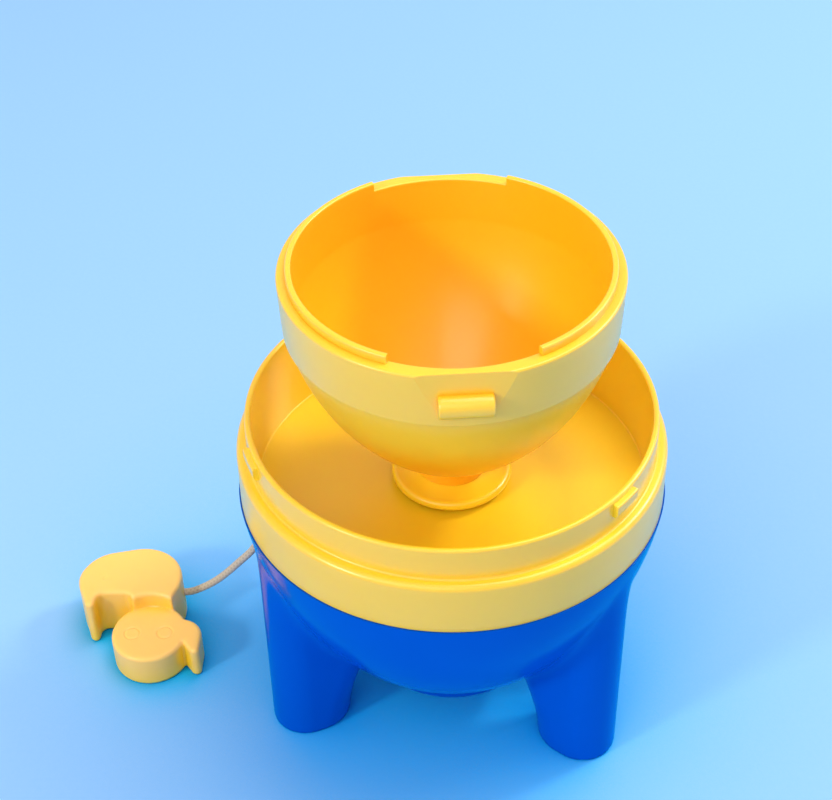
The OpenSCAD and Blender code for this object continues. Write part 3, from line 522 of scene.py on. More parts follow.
# %% Sizes of the bowl and the legs
RIM_RADIUS, RIM_Z, BOTTOM_RADIUS, BOTTOM_Z = 41.4, 55.3, 18.0, 12.4
BOWL_ARC, SHELL_WALL = 67.5, 2.2
LEG_BEARINGS, LEG_RING, LEG_RADIUS = (53.4, 173.4, 293.4), 33.3, 6.9
LEG_DEPTH, LEG_LEAN, LEAN_Z = 2.4, 23.0, 5.0
POST_BEARINGS, POST_RING, POST_RADIUS = tuple(b + 45 for b in LEG_BEARINGS), 21.5, 3.9
chord = np.array([RIM_RADIUS - BOTTOM_RADIUS, RIM_Z - BOTTOM_Z])
half_chord = np.linalg.norm(chord) / 2
across_chord = np.array([-chord[1], chord[0]]) / (2 * half_chord)
BOWL_CENTRE = (np.array([BOTTOM_RADIUS, BOTTOM_Z]) + chord / 2
               + across_chord * math.sqrt(BOWL_ARC ** 2 - half_chord ** 2))
print("bowl's arc turns round", BOWL_CENTRE.round(2))

# %% [markdown]
# Each function takes many points at once and gives their distances. The fillet between leg and
# bowl is wide half-way up and runs out towards the rim.

# %% Distance to the shell's outer surface
FILLET_HEIGHTS, FILLETS = (12, 25, 38, 46, 53), (1.8, 3.2, 2.8, 1.2, 0.5)
FOOT_ROUNDING, BOTTOM_ROUNDING, LEAN_BEND = 0.9, 0.8, 7.0


def smooth_min(a, b, reach):
    """The smaller of two distances, rounded where they are nearer each other than reach."""
    share = np.maximum(reach - np.abs(a - b), 0) / reach
    return np.minimum(a, b) - share * share * reach / 4


def smooth_max(a, b, reach):
    """The larger of two distances, rounded where they are nearer each other than reach."""
    return -smooth_min(-a, -b, reach)


def leg_distance(p, bearing):
    """Distance to a leg: upright and round outside, leaning and round inside, with a flat foot."""
    turn = math.radians(bearing)
    out = p[:, 0] * math.sin(turn) - p[:, 1] * math.cos(turn) - LEG_RING
    across = p[:, 0] * math.cos(turn) + p[:, 1] * math.sin(turn)
    lean = math.radians(LEG_LEAN)
    shift = LEG_RADIUS / math.cos(lean) - LEG_RADIUS - LEG_DEPTH
    above = smooth_max(p[:, 2] - LEAN_Z, 0.0, LEAN_BEND)
    leaned = (out - shift) * math.cos(lean) + above * math.sin(lean)
    upright = np.where(out > 0, np.hypot(across, out), np.abs(across)) - LEG_RADIUS
    leaning = np.where(leaned < 0, np.hypot(across, leaned), np.abs(across)) - LEG_RADIUS
    return smooth_max(np.maximum(upright, leaning), -p[:, 2], FOOT_ROUNDING)


def bowl_distance(p):
    """Distance to the round bowl with its flat bottom."""
    from_axis = np.hypot(p[:, 0], p[:, 1])
    bowl = np.hypot(from_axis - BOWL_CENTRE[0], p[:, 2] - BOWL_CENTRE[1]) - BOWL_ARC
    return smooth_max(bowl, BOTTOM_Z - p[:, 2], BOTTOM_ROUNDING)


def shell_distance(p):
    """Distance to the shell: the bowl, and the legs run into it."""
    total = bowl_distance(p)
    fillet = np.interp(p[:, 2], FILLET_HEIGHTS, FILLETS)
    for bearing in LEG_BEARINGS:
        total = smooth_min(total, leg_distance(p, bearing), fillet)
    return total


# %% [markdown]
# A point reaches the surface in a few steps along the slope of the distance, which is Newton's
# way. A smoothing in between spreads the points evenly, but not on open edges, which it would
# shrink.

# %% Settling points on a surface
NUDGE = 0.02


def settle(points, distance, level=0.0, rounds=4):
    """Moves points along the slope of a distance until it equals level."""
    for _ in range(rounds):
        slope = np.stack([distance(points + step) - distance(points - step)
                          for step in np.eye(3) * NUDGE], axis=1) / (2 * NUDGE)
        size = np.maximum((slope ** 2).sum(1, keepdims=True), 0.05)
        points = points - (distance(points) - level)[:, None] * slope / size
    return points


def settle_verts(verts, distance, level=0.0, top=math.inf):
    """Settles some vertices of a bmesh, none of them above top."""
    points = settle(np.array([v.co for v in verts]), distance, level)
    for vert, point in zip(verts, points):
        vert.co = (point[0], point[1], min(point[2], top))


def relax(bm, verts, distance, level=0.0, top=math.inf, rounds=5):
    """Settles vertices and evens them out in turn. Those on an open edge are only settled."""
    free = [v for v in verts if not v.is_boundary]
    for _ in range(rounds):
        settle_verts(verts, distance, level, top)
        bmesh.ops.smooth_vert(bm, verts=free, factor=0.5,
                              use_axis_x=True, use_axis_y=True, use_axis_z=True)
    settle_verts(free, distance, level, top)


# %% [markdown]
# A spun bowl and three hulls of circles run through each other, and voxel remeshing makes them
# one skin. A second round clears faces that the first leaves folded at the seams. The skin goes on
# above the rim, where it will be cut.

# %% Rough union, remeshed and settled
LEG_TOP, ABOVE_RIM, SPARE, SKIN_FACE = 40.0, 4.0, 2.5, 0.76
bowl_corners = ([(0, BOTTOM_Z, 0)] + arc(BOWL_CENTRE, BOWL_ARC, BOTTOM_Z, RIM_Z + ABOVE_RIM, 24)
                + [(0, RIM_Z + ABOVE_RIM, 0)])
rough = turned(bowl_corners, 90)
run_in = (LEG_TOP - LEAN_Z) * math.tan(math.radians(LEG_LEAN))
for bearing in LEG_BEARINGS:
    leg = bmesh.new()
    for out, height in ((0, 0), (-LEG_DEPTH, 0), (-LEG_DEPTH, LEAN_Z), (0, LEG_TOP),
                        (-LEG_DEPTH - run_in, LEG_TOP)):
        bmesh.ops.create_circle(leg, segments=48, radius=LEG_RADIUS,
                                matrix=Matrix.Translation((0, -out - LEG_RING, height)))
    bmesh.ops.convex_hull(leg, input=leg.verts)
    pour(at(leg, bearing), rough)
shell = form(rough, "shell")


def remesh(piece, size):
    """Even square faces of one size over a closed form."""
    voxels = piece.modifiers.new("remesh", "REMESH")
    voxels.mode = "VOXEL"
    voxels.voxel_size = size
    apply_modifiers(piece)


def settle_skin(piece, distance, top=math.inf):
    """Lays a remeshed form on the distance's surface below top, with its points spread evenly."""
    bm = bmesh.new()
    bm.from_mesh(piece.data)
    relax(bm, [v for v in bm.verts if v.co.z < top], distance)
    bm.to_mesh(piece.data)
    bm.free()


for _ in range(2):
    remesh(shell, SKIN_FACE)
    settle_skin(shell, shell_distance, RIM_Z + SPARE)
print("skin faces:", len(shell.data.polygons))

# %% [markdown]
# Gloss shows the least unevenness, so faces along the seams are divided once more. Where that
# strip ends, faces have five or more corners, which shade badly, so those become triangles.

# %% Finer faces along the seams
FINE_STRIP, RELAXED_STRIP = 2.2, 3.4


def near_seam(verts, reach):
    """Those vertices that are nearly as close to a leg as to the bowl."""
    points = np.array([v.co for v in verts])
    gap = np.min([np.abs(bowl_distance(points) - leg_distance(points, bearing))
                  for bearing in LEG_BEARINGS], axis=0)
    return [v for v, away in zip(verts, gap) if away < reach and v.co.z < RIM_Z + SPARE]


bm = bmesh.new()
bm.from_mesh(shell.data)
seam = set(near_seam(bm.verts, FINE_STRIP))
bmesh.ops.subdivide_edges(bm, edges=[e for e in bm.edges if seam.issuperset(e.verts)],
                          cuts=1, use_grid_fill=True)
bmesh.ops.triangulate(bm, faces=[face for face in bm.faces if len(face.verts) > 4])
relax(bm, near_seam(bm.verts, RELAXED_STRIP), shell_distance)
print("skin points:", len(bm.verts))

# %% [markdown]
# The skin is now cut at the rim and opened at the bottom and at the holes.

# %% Rim and openings
CAP_HOLE, DRIVER_HOLE, EYELET_HOLE = 15.0, 3.2, 2.7


def cut_off(bm, point, direction):
    """Takes away what lies beyond a plane."""
    bmesh.ops.bisect_plane(bm, geom=bm.verts[:] + bm.edges[:] + bm.faces[:], plane_co=point,
                           plane_no=direction, clear_outer=True)


def open_hole(bm, centre, axis, radius, near=8.0):
    """Takes the skin away inside a round hole and lays the hole's edge on its circle."""
    axis, centre = Vector(axis), Vector(centre)

    def off_axis(vert):
        away = vert.co - centre
        return away - axis * away.dot(axis), abs(away.dot(axis))

    inside = [f for f in bm.faces
              if any(off_axis(v)[0].length < radius and off_axis(v)[1] < near for v in f.verts)]
    edge = {v for f in inside for v in f.verts}
    bmesh.ops.delete(bm, geom=inside, context="FACES")
    for vert in edge:
        if vert.is_valid and vert.is_boundary:
            away, _ = off_axis(vert)
            vert.co += away.normalized() * (radius - away.length)


cut_off(bm, (0, 0, RIM_Z), (0, 0, 1))
near_rim = [v for v in bm.verts if v.co.z > RIM_Z - 0.01]
bmesh.ops.remove_doubles(bm, verts=near_rim, dist=0.25)
bmesh.ops.dissolve_degenerate(bm, edges=bm.edges, dist=0.02)
open_hole(bm, (0, 0, BOTTOM_Z), (0, 0, 1), CAP_HOLE)
for bearing in POST_BEARINGS:
    turn = math.radians(bearing)
    open_hole(bm, (POST_RING * math.sin(turn), -POST_RING * math.cos(turn), 16), (0, 0, 1),
              DRIVER_HOLE)
open_hole(bm, (-33, EXIT_Y, EXIT_Z), (1, 0, 0), EYELET_HOLE)
print("open edges:", sum(edge.is_boundary for edge in bm.edges))

# %% [markdown]
# A second copy of the skin is settled on the same distance at the depth of the wall, so the wall
# is even everywhere and the legs come out hollow. One face from each open edge to its copy closes
# the wall.

# %% Inner wall
skin = bpy.data.meshes.new("skin")
bm.to_mesh(skin)
bm.free()
bm = bmesh.new()
bm.from_mesh(skin)
bm.from_mesh(skin)
for parts in (bm.verts, bm.edges, bm.faces):
    parts.ensure_lookup_table()
inner = bm.verts[len(skin.vertices):]
relax(bm, inner, shell_distance, -SHELL_WALL, RIM_Z, rounds=4)
bmesh.ops.reverse_faces(bm, faces=bm.faces[len(skin.polygons):])
for edge in bm.edges[:len(skin.edges)]:
    if edge.is_boundary:
        here, there = edge.verts
        bm.faces.new((here, there, inner[there.index], inner[here.index]))
bmesh.ops.recalc_face_normals(bm, faces=bm.faces)
bm.to_mesh(shell.data)
bm.free()
print("shell faces:", len(shell.data.polygons))

# %% [markdown]
# Three posts inside take the long screws, and a flat boss outside takes the cord's eyelet. A
# tilted plane half-way into the sloping wall cuts the lower end of each post.

# %% Posts and eyelet boss
POST_TOP, SCREW_SEAT, SCREW_HOLE, HEAD_HOLE = 47, 39, 1.6, 2.7


def post(bearing):
    """A screw post from the bowl's wall up, with the screw's recess from below."""
    bm = turned([(SCREW_HOLE, SCREW_SEAT, 0), (SCREW_HOLE, POST_TOP, 0.2),
                 (POST_RADIUS, POST_TOP, 0.4), (POST_RADIUS, 9, 0), (HEAD_HOLE, 9, 0),
                 (HEAD_HOLE, SCREW_SEAT, 0)], 48)
    heights = []
    for radius in (POST_RING - POST_RADIUS, POST_RING + POST_RADIUS):
        drop = max(BOWL_ARC ** 2 - (radius - BOWL_CENTRE[0]) ** 2, 0) ** 0.5
        heights.append(max(BOWL_CENTRE[1] - drop, BOTTOM_Z) + SHELL_WALL / 2)
    slope = (heights[1] - heights[0]) / (2 * POST_RADIUS)
    middle = sum(heights) / 2
    cut_off(bm, (0, 0, middle), (0, -slope, -1))
    bmesh.ops.bridge_loops(bm, edges=[e for e in bm.edges if e.is_boundary])
    bmesh.ops.recalc_face_normals(bm, faces=bm.faces)
    return at(bm, bearing, POST_RING)


additions = bmesh.new()
for bearing in POST_BEARINGS:
    pour(post(bearing), additions)
boss = turned([(2.15, 0, 0.2), (3.7, 0, 0.35), (3.7, 6.4, 0), (2.15, 6.4, 0)], 64)
pour(along_x(boss, EYELET_X, EXIT_Y, EXIT_Z), additions)
additions.from_mesh(shell.data)
additions.to_mesh(shell.data)
additions.free()
finish_piece(shell, "bowl_with_three_legs", blue_abs, "base", 60)
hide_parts("base_shell")

# %% [markdown]
# ## The bottom cap
#
# A plain round cap with a full round edge closes the hole that the mechanism went in through. Only
# a sliver of it shows under the bowl.

# %% Bottom cap
cap_corners = [
    (0, 9.3, 0), (18.5, 9.3, 1.4), (18.5, 12.4, 1.1), (14.95, 12.4, 0), (14.95, 14.4, 0.3),
    (13.55, 14.4, 0.3), (13.55, 12.4, 0), (0, 12.4, 0)]
cap = form(turned(cap_corners), "cap")
finish_piece(cap, "round_bottom_cap", dark_blue_abs, "base")
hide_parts("bottom_cap")

# %% [markdown]
# ## The deck collar
#
# The collar is one moulding: an upright band, a soft shoulder, a thin spigot that the dome slides
# over, and a flat deck sunk inside it. Everything round comes from one section, with a different
# rounding at each corner. A low ring under the band fits inside the bowl's wall.

# %% Deck collar
BAND_Z, SPIGOT_Z, DECK_Z, DECK_UNDER_Z = 66.4, 73.4, 55.2, 53.0
RING_DEPTH, RING_PLAY = 2, 0.1
ring_drop = BOWL_CENTRE[1] - DECK_UNDER_Z + RING_DEPTH
RING_OUT = (math.sqrt((BOWL_ARC - SHELL_WALL) ** 2 - ring_drop ** 2)
            + BOWL_CENTRE[0] - RING_PLAY)
collar_corners = [
    (4.65, 48, 0.2), (7.6, 48, 0.4), (7.6, DECK_UNDER_Z, 0.4), (RING_OUT - 1.6, DECK_UNDER_Z, 0.3),
    (RING_OUT - 1.6, 51, 0.3), (RING_OUT, 51, 0.3), (RING_OUT, RIM_Z, 0), (41.1, RIM_Z, 0.12),
    (41.1, BAND_Z, 1.2), (39, BAND_Z, 0.5), (39, SPIGOT_Z, 0.58), (37.8, SPIGOT_Z, 0.58),
    (37.8, DECK_Z, 0.3), (4.65, DECK_Z, 0.3)]
collar = form(turned(collar_corners, 240), "collar")

# %% [markdown]
# The three lugs of the bayonet are short pieces of ring, and the ribs and bosses under the deck
# are joined from below.

# %% Lugs, ribs and bosses of the collar
LUG_BEARINGS, LUG_SPAN = (51.5, 171.5, 291.5), 9
RIB_BEARINGS = [LEG_BEARINGS[0] + 60 * i for i in range(6)]
PILLAR_RING, PILLAR_RADIUS, PILLAR_FOOT = 24.0, 3.2, 28.65
JOINED_Z = 53.2
lug_corners = [(38.5, 69.6, 0), (39.6, 69.6, 0.25), (40.1, 70.6, 0.3), (40.1, 72.5, 0.35),
               (38.5, 72.5, 0)]


def ring_piece(corners, steps, span, middle):
    """A section spun through part of a turn, with its middle at a bearing."""
    return at(turned(corners, steps, span), middle - 90 - span / 2)


lugs = [form(ring_piece(lug_corners, 16, LUG_SPAN, bearing), "lug") for bearing in LUG_BEARINGS]
ribs = [form(at(box_form((-0.7, -RING_OUT + 0.8, 50.5), (0.7, -6.6, 53.1)), bearing), "rib")
        for bearing in RIB_BEARINGS]
pillars = [form(at(rod(PILLAR_RADIUS, PILLAR_FOOT, JOINED_Z), bearing, PILLAR_RING), "pillar")
           for bearing in LEG_BEARINGS]
stubs = [form(at(rod(POST_RADIUS, POST_TOP, JOINED_Z), bearing, POST_RING), "stub")
         for bearing in POST_BEARINGS]
combine(collar, "UNION", *lugs, *ribs, *pillars, *stubs)
holes = [form(at(rod(0.8, PILLAR_FOOT - 1.65, PILLAR_FOOT + 6, 24), bearing, PILLAR_RING), "hole")
         for bearing in LEG_BEARINGS]
holes += [form(at(rod(1.4, POST_TOP - 1, JOINED_Z + 1, 32), bearing, POST_RING), "hole")
          for bearing in POST_BEARINGS]
combine(collar, "DIFFERENCE", *holes)
finish_piece(collar, "deck_collar_moulding", collar_polypropylene, "base")
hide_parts("deck_collar")

# %% [markdown]
# ## The saucer hub
#
# The hub is a small saucer with a rounded lip, a shallow dish and a seat for the cup's neck. Its
# driving boss has two flats, cut by two boxes.

# %% Saucer hub
HUB_Z, SEAT_Z, DRIVE_Z, CUP_TURN = 56.1, 58.3, 61.9, 4.6
hub_corners = [
    (3.05, HUB_Z, 0.2), (11.6, HUB_Z, 0.9), (11.6, 58.15, 1.1), (8.6, 57.75, 2.6),
    (6.9, SEAT_Z, 0.3), (4.6, SEAT_Z, 0), (4.6, DRIVE_Z, 0.3), (3.05, DRIVE_Z, 0.2)]


def cut_flats(piece, half_width, low, high):
    """Cuts a flat on two opposite sides, between two heights."""
    combine(piece, "DIFFERENCE", form(box_form((-6, half_width, low), (6, 6, high)), "flat"),
            form(box_form((-6, -6, low), (6, -half_width, high)), "flat"))


hub = form(turned(hub_corners, 144), "hub")
cut_flats(hub, 3.8, SEAT_Z, 63)
hub.data.transform(Matrix.Rotation(math.radians(CUP_TURN), 4, "Z"))
finish_piece(hub, "saucer_hub", collar_polypropylene, "rotor")
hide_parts("drive_hub")

# %% [markdown]
# ## The cup
#
# The cup is half of a capsule. Its upright band stands a little proud of its round lower half.

# %% Cup body
CUP_RADIUS, BAND_FOOT, CUP_TOP_OUT, CUP_INNER = 31.0, 30.5, 30, 28.2
CUP_RIM_Z, CUP_BAND_Z, NECK, FLOOR_Z = 105.0, 94.2, 6.7, 65.9
CUP_ARC, CUP_WALL, CUP_SLOPE = 47.4, 2.2, math.radians(11.9)
CUP_CENTRE = (CUP_TOP_OUT - CUP_ARC * math.cos(CUP_SLOPE),
              CUP_BAND_Z + CUP_ARC * math.sin(CUP_SLOPE))
side_low = CUP_CENTRE[1] - math.sqrt(CUP_ARC ** 2 - (NECK - CUP_CENTRE[0]) ** 2)
outside = arc(CUP_CENTRE, CUP_ARC, side_low, CUP_BAND_Z, 28)
outside[0] = (NECK, side_low, 0.9)
inner_arc = CUP_ARC - CUP_WALL
wall_top = CUP_CENTRE[1] - math.sqrt(inner_arc ** 2 - (CUP_INNER - CUP_CENTRE[0]) ** 2)
inside = arc(CUP_CENTRE, inner_arc, FLOOR_Z, wall_top, 28)[::-1]
inside[-1] = inside[-1][:2] + (0.8,)
cup_corners = ([(0, SEAT_Z, 0), (NECK, SEAT_Z, 0.2)] + outside
               + [(BAND_FOOT, CUP_BAND_Z, 0.2), (CUP_RADIUS, CUP_RIM_Z, 0.55),
                  (CUP_INNER, CUP_RIM_Z, 0.3)]
               + inside + [(0, FLOOR_Z, 0)])
cup = form(turned(cup_corners, 240), "cup")

# %% [markdown]
# Inside the rim a thin tongue takes the other half. It is spun through part of a turn, and stops
# short in front and behind, where the latches are. Each latch is a half-round bar under a shallow
# wedge-shaped recess, which is where a tilted box shaves the band.

# %% Tongue, latches, recesses and socket
TONGUE_GAP, TONGUE_OUT, TONGUE_FOOT, TONGUE_TOP = 52.2, 29.3, 104.4, 106.6
FACET_OUT, LATCH_OUT, LATCH_Z, LATCH_RADIUS, LATCH_HALF = 29.75, 30.6, 98.8, 2.1, 4.7
tongue_corners = [(CUP_INNER, TONGUE_FOOT, 0), (TONGUE_OUT, TONGUE_FOOT, 0),
                  (TONGUE_OUT, TONGUE_TOP, 0.35), (CUP_INNER, TONGUE_TOP, 0.35)]
tongues = [form(ring_piece(tongue_corners, 96, 180 - TONGUE_GAP, middle), "tongue")
           for middle in (90, 270)]


def facet(bearing):
    """What a tilted flat takes off the band: deep at the rim and nothing at the band's foot."""
    bm = box_form((-12, -36, 0), (12, -BAND_FOOT, 16))
    tilt = math.atan2(BAND_FOOT - FACET_OUT, CUP_RIM_Z - CUP_BAND_Z)
    bmesh.ops.rotate(bm, cent=(0, -BAND_FOOT, 0), matrix=Matrix.Rotation(-tilt, 3, "X"),
                     verts=bm.verts)
    bmesh.ops.translate(bm, vec=(0, 0, CUP_BAND_Z), verts=bm.verts)
    return form(at(bm, bearing), "facet")


def latch(bearing):
    """A bar half sunk in the band, with round ends."""
    bm = rod(LATCH_RADIUS, -LATCH_HALF, LATCH_HALF, 48)
    ends = [e for e in bm.edges if abs(e.verts[0].co.z - e.verts[1].co.z) < 1e-6]
    round_off(bm, ends, 0.4, 9, "EDGES")
    bmesh.ops.rotate(bm, cent=(0, 0, 0), matrix=Matrix.Rotation(math.pi / 2, 3, "Y"),
                     verts=bm.verts)
    return form(at(at(bm, 0, LATCH_OUT, LATCH_Z), bearing), "latch")


combine(cup, "DIFFERENCE", facet(0), facet(180))
hollow = form(turned([(0, 80, 0), (28.3, 80, 0), (28.3, 110, 0), (0, 110, 0)], 120), "hollow")
bars = latch(0)
combine(bars, "UNION", latch(180))
combine(bars, "DIFFERENCE", hollow)
combine(cup, "UNION", *tongues, bars)
socket = form(rod(4.65, SEAT_Z - 1, DRIVE_Z + 0.1), "socket")
cut_flats(socket, 3.85, 50, 70)
screw_recess = form(rod(2.7, FLOOR_Z - 1.8, FLOOR_Z + 2), "recess")
screw_hole = form(rod(1.6, DRIVE_Z - 1, FLOOR_Z + 1, 32), "hole")
combine(cup, "DIFFERENCE", socket, screw_recess, screw_hole)
cup.data.transform(Matrix.Rotation(math.radians(CUP_TURN), 4, "Z"))
finish_piece(cup, "capsule_cup", yellow_polypropylene, "rotor", 11)
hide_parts("egg_cup")

# %% [markdown]
# ## The pull
#
# The pull is a flat toy shape: a plump body with an upturned tail, and a thinner head with a bill.
# It is soft to the touch, so every edge and corner is round, in the outline too. A bevel stops at
# the short edges of a curved outline, so this piece is made as the bowl is: by its distance. The
# outline is drawn as a few rounded bars and boxes, and then cut off at its height.

# %% Pull outline
def bar(p, start, start_radius, end, end_radius):
    """Distance, in the plan, to two circles and the straight tangents between them."""
    start, end = np.array(start, float), np.array(end, float)
    way = end - start
    length = np.linalg.norm(way)
    along = (p[:, :2] - start) @ way / length
    beside = np.abs((p[:, 0] - start[0]) * way[1] - (p[:, 1] - start[1]) * way[0]) / length
    sine = (start_radius - end_radius) / length
    cosine = math.sqrt(1 - sine ** 2)
    reach = cosine * along - sine * beside
    straight = cosine * beside + sine * along - start_radius
    ends = np.where(reach < 0, np.hypot(along, beside) - start_radius,
                    np.hypot(along - length, beside) - end_radius)
    return np.where((reach >= 0) & (reach <= cosine * length), straight, ends)


def block(p, low, high, corner=0.0):
    """Distance, in the plan, to a rectangle with round corners."""
    low, high = np.array(low, float), np.array(high, float)
    off = np.abs(p[:, :2] - (low + high) / 2) - (high - low) / 2 + corner
    return np.hypot(*np.maximum(off, 0).T) + np.minimum(off.max(1), 0) - corner


BODY_HEIGHT, HEAD_HEIGHT, SOFT_EDGE = 12.0, 8.0, 1.0
HEAD_CENTRE, HEAD_RADIUS = (-3.3, 12.2), 8.1


def bill_notch(p):
    """Distance, in the plan, to the wedge that is cut out under the bill."""
    slant = -((p[:, 0] + 10.8) * 0.8 + (p[:, 1] - 15) * 0.6)
    return np.max([15 - p[:, 1], p[:, 0] + 3.8, slant, -13.2 - p[:, 0]], axis=0)


def head_disc(p):
    """Distance, in the plan, to the round of the head."""
    return np.hypot(p[:, 0] - HEAD_CENTRE[0], p[:, 1] - HEAD_CENTRE[1]) - HEAD_RADIUS


def body_plan(p):
    """Body, tail and neck, less the notch behind the neck and the room for the head."""
    plump = bar(p, (0, 0), 9.2, (5.0, 0.1), 8.22)
    tail = bar(p, (8.3, 0), 5.0, (9.8, 7.0), 1.3)
    neck = block(p, (-7.8, 0), (1.0, 8.2))
    notch = block(p, (1.0, 4.6), (8.9, 30), 1.8)
    body = smooth_min(smooth_min(plump, tail, 0.6), neck, 0.8)
    for cut in (notch, head_disc(p) + 0.8, block(p, (-9, 8.2), (2.0, 30))):
        body = smooth_max(body, -cut, 0.8)
    return body


def head_plan(p):
    """The round head with its bill."""
    bill = smooth_max(bar(p, (-9.9, 13), 4.7, (-13.6, 16.8), 0.95), -bill_notch(p), 0.5)
    return smooth_min(head_disc(p), bill, 0.5)


def pull_distance(p):
    """Distance to the pull in its own drawing, where the head lies towards +Y."""
    body, head = (smooth_max(plan(p), np.abs(p[:, 2] - height / 2) - height / 2, SOFT_EDGE)
                  for plan, height in ((body_plan, BODY_HEIGHT), (head_plan, HEAD_HEIGHT)))
    return smooth_min(body, head, 0.3)


# %% Pull body and head
def slab(bm, plan, height):
    """A rough flat form: the squares of a sheet that lie inside a plan, raised to a height."""
    sheet = bmesh.new()
    bmesh.ops.create_grid(sheet, x_segments=90, y_segments=90, size=18)
    bmesh.ops.translate(sheet, vec=(-0.5, 5.5, 0), verts=sheet.verts)
    middles = np.array([face.calc_center_median() for face in sheet.faces])
    outside = [face for face, away in zip(sheet.faces, plan(middles)) if away > 0]
    bmesh.ops.delete(sheet, geom=outside, context="FACES")
    raised = bmesh.ops.extrude_face_region(sheet, geom=sheet.faces[:])["geom"]
    bmesh.ops.translate(sheet, vec=(0, 0, height),
                        verts=[v for v in raised if isinstance(v, bmesh.types.BMVert)])
    bmesh.ops.recalc_face_normals(sheet, faces=sheet.faces)
    pour(sheet, bm)


PULL_FACE = 0.36
rough = bmesh.new()
slab(rough, body_plan, BODY_HEIGHT)
slab(rough, head_plan, HEAD_HEIGHT)
pull = form(rough, "pull")
for _ in range(2):
    remesh(pull, PULL_FACE)
    settle_skin(pull, pull_distance)
print("pull faces:", len(pull.data.polygons))

# %% [markdown]
# Two faint rings are pressed into the head's top, and a small dent in the body marks where the
# plastic ran in. The cord comes in through a hole in the body's side and is knotted in a pocket
# that opens below. The shape was drawn upright; the pull lies turned by half a turn, with its head
# towards the viewer.

# %% Rings, dent, cord hole and place of the pull
PULL_X, PULL_Y = -68.4, 13.4
RING_PLACES = (0.3, 12.7), (-6.7, 12.4)
ring_corners = [(1.15, 8.06, 0), (1.6, 7.84, 0), (2.05, 8.06, 0)]
rings = []
for x, y in RING_PLACES:
    ring = form(turned(ring_corners, 48), "ring")
    ring.data.transform(Matrix.Translation((x, y, 0)))
    rings.append(ring)
dent = bmesh.new()
bmesh.ops.create_uvsphere(dent, u_segments=48, v_segments=32, radius=2.5,
                          matrix=Matrix.Translation((7.4, 0.25, BODY_HEIGHT + 2.36)))
combine(pull, "DIFFERENCE", *rings, form(dent, "dent"))
pull.data.transform(Matrix.Translation((PULL_X, PULL_Y, 0)) @ Matrix.Rotation(math.pi, 4, "Z"))
hole = along_x(rod(CORD_RADIUS + 0.3, 0, 30, 32), KNOT_X, KNOT_Y, KNOT_Z)
pocket = rod(2.4, -1, KNOT_Z + KNOT_RADIUS + 1.5, 48)
bmesh.ops.translate(pocket, vec=(KNOT_X, KNOT_Y, 0), verts=pocket.verts)
combine(pull, "DIFFERENCE", form(hole, "hole"), form(pocket, "pocket"))
finish_piece(pull, "flat_toy_pull", pull_plastic, "pull")
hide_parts("pull_duck")

# %% [markdown]
# ## Looks of the hidden pieces
#
# The bushes, the drum, the spring and the screws stay the CAD's own solids. Each gets the material
# of its slot.

# %% Materials by slot
by_slot = {
    "blue_plastic": blue_abs, "yellow_plastic": yellow_polypropylene,
    "cream_plastic": pull_plastic, "white_plastic": acetal, "nylon": nylon,
    "plated_steel": plated_steel, "spring_steel": bright_steel, "cord": cord_braid}
for name, node in nodes.items():
    slot_name = node.material_slots[0].material.name.split(".")[0]
    node.material_slots[0].material = by_slot[slot_name]
print("dressed nodes:", len(nodes))

# %% [markdown]
# ## Floor and light
#
# The spinner stands on pale blue paper. A deeper blue is painted in where things stand close over
# it: painted shadow. Mirrored rays always get that painted shaded blue, because glossy sides show
# the floor close by.

# %% Paper floor
GRAIN_MM, SHADE_MM = 1.2, 90


def paper(name, open_low, open_high, shaded, deepest):
    """Matt paper with a fine grain, and painted shade where little of the sky reaches it."""
    made, tree = empty_material(name)
    place = add(tree, "TexCoord").outputs["Object"]
    grain = add(tree, "TexNoise", {"Vector": place, "Scale": 1000 / GRAIN_MM, "Detail": 3.0})
    colour = add(tree, "Mix", {0: grain, 6: linear(open_low), 7: linear(open_high)},
                 data_type="RGBA").outputs[2]
    # Painted shadow: ambient occlusion mixes the shaded and deepest blues in, and mirrored rays see
    # them.
    sky_seen = add(tree, "AmbientOcclusion", {"Distance": SHADE_MM * 0.001},
                   samples=6).outputs["AO"]
    openness = add(tree, "MapRange", {"Value": sky_seen, "From Min": 0.4, "From Max": 0.94},
                   interpolation_type="SMOOTHSTEP")
    mirrored = add(tree, "LightPath").outputs["Is Glossy Ray"]
    directly = add(tree, "Math", {0: openness, 1: mirrored}, operation="SUBTRACT", use_clamp=True)
    depth = add(tree, "MapRange", {"Value": sky_seen, "From Min": 0.04, "From Max": 0.32})
    shade = add(tree, "Mix", {0: depth, 6: linear(deepest), 7: linear(shaded)},
                data_type="RGBA").outputs[2]
    deepened = add(tree, "Mix", {0: directly, 6: shade, 7: colour}, data_type="RGBA").outputs[2]
    bump = add(tree, "Bump", {"Height": grain, "Strength": 0.1, "Distance": 0.00002})
    shader = add(tree, "BsdfPrincipled", {
        "Base Color": deepened, "Roughness": 0.9, "Specular IOR Level": 0.15, "Normal": bump})
    add(tree, "OutputMaterial", {"Surface": shader})
    return made


PAPER_HALF = 3.0
sheet = bmesh.new()
bmesh.ops.create_grid(sheet, x_segments=1, y_segments=1, size=PAPER_HALF)
floor = form(sheet, "paper_floor")
# The last two colours are the painted shadow's blues.
dress(floor, paper("blue_paper", "#8ABEF7", "#8EC1F8", "#04B2FF", "#0062C4"))
print("paper:", 2 * PAPER_HALF, "m square")

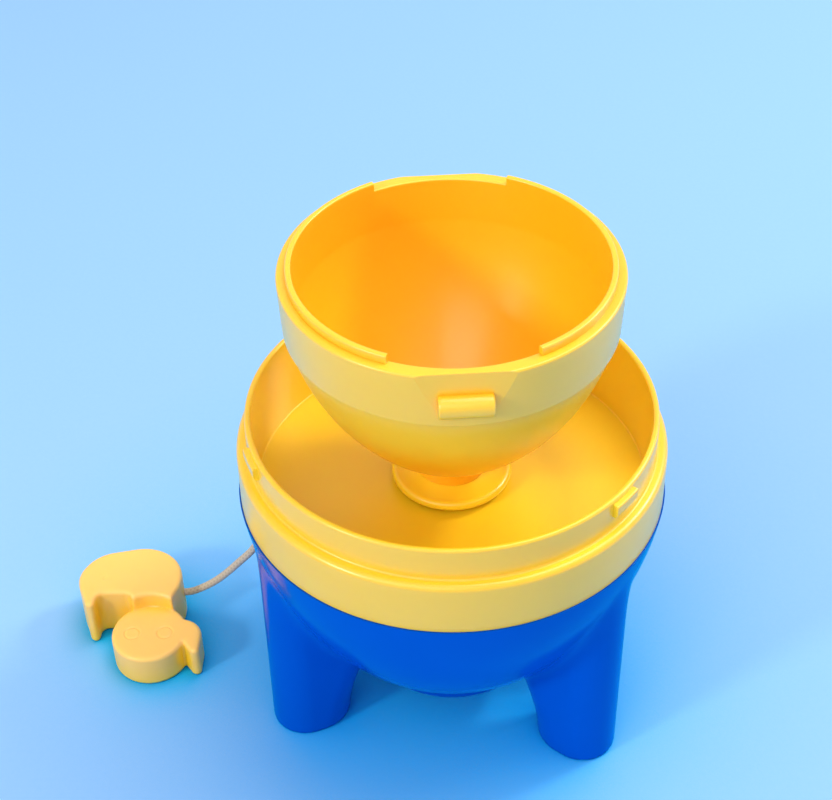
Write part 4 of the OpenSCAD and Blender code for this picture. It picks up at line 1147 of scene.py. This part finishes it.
# %% [markdown]
# Of the four lamps, two small ones draw the shadows: the key at the front left throws one to the
# right, and the one at the back right a second one to the left. Two large soft ones, above and in
# front, give the plastic its broad sheens. Power is in watts, size and distance in metres.

# %% Lamps
LAMPS_FACE = Vector((0, 0, 0.04))


def lamp(name, power, size, colour, direction, distance):
    """A square soft light that faces the spinner from a direction."""
    data = bpy.data.lights.new(name, "AREA")
    data.energy = power
    data.size = size
    data.color = linear(colour)[:3]
    made = put(name, data)
    way = Vector(direction).normalized()
    made.location = LAMPS_FACE + way * distance
    made.rotation_euler = way.to_track_quat("Z", "Y").to_euler()


lamp("key_front_left", 3.2, 0.12, "#FFEFE2", (-0.8, -0.6, 0.55), 0.9)
lamp("back_right", 2.9, 0.14, "#FFEFE2", (0.88, 0.45, 0.8), 0.8)
lamp("main_above_right", 9.3, 0.8, "#FFEFE4", (0.28, 0.14, 1.0), 1.4)
lamp("soft_front", 5.1, 0.9, "#FFEFE4", (-0.3, -1.0, 1.1), 1.4)
print("lamps:", len(bpy.data.lights))

# %% [markdown]
# The sky's light is a weak warm white, so that the yellows stay clean. The camera sees a pale
# blue backdrop instead, and mirrored and refracted rays see that too, but only low down.

# %% Sky and backdrop
world = bpy.data.worlds.new("blue_sky")
world.use_nodes = True
tree = world.node_tree
tree.nodes.clear()
path = add(tree, "LightPath").outputs
way = add(tree, "TexCoord").outputs["Generated"]
rise = add(tree, "SeparateXYZ", {0: way}).outputs["Z"]
low_down = add(tree, "MapRange", {"Value": rise, "From Min": 0.5, "From Max": 0.1},
               interpolation_type="SMOOTHSTEP")
seen = path["Is Camera Ray"]
for kind in ("Is Glossy Ray", "Is Transmission Ray"):
    mirrored = add(tree, "Math", {0: low_down, 1: path[kind]}, operation="MULTIPLY")
    seen = add(tree, "Math", {0: seen, 1: mirrored}, operation="MAXIMUM")
sky = add(tree, "Background", {"Color": linear("#FFFAF6"), "Strength": 0.57})
backdrop = add(tree, "Background", {"Color": linear("#B4E0FF"), "Strength": 1.0})
both = add(tree, "MixShader", {0: seen, 1: sky, 2: backdrop})
add(tree, "OutputWorld", {"Surface": both})
bpy.context.scene.world = world
print("sky nodes:", len(tree.nodes))
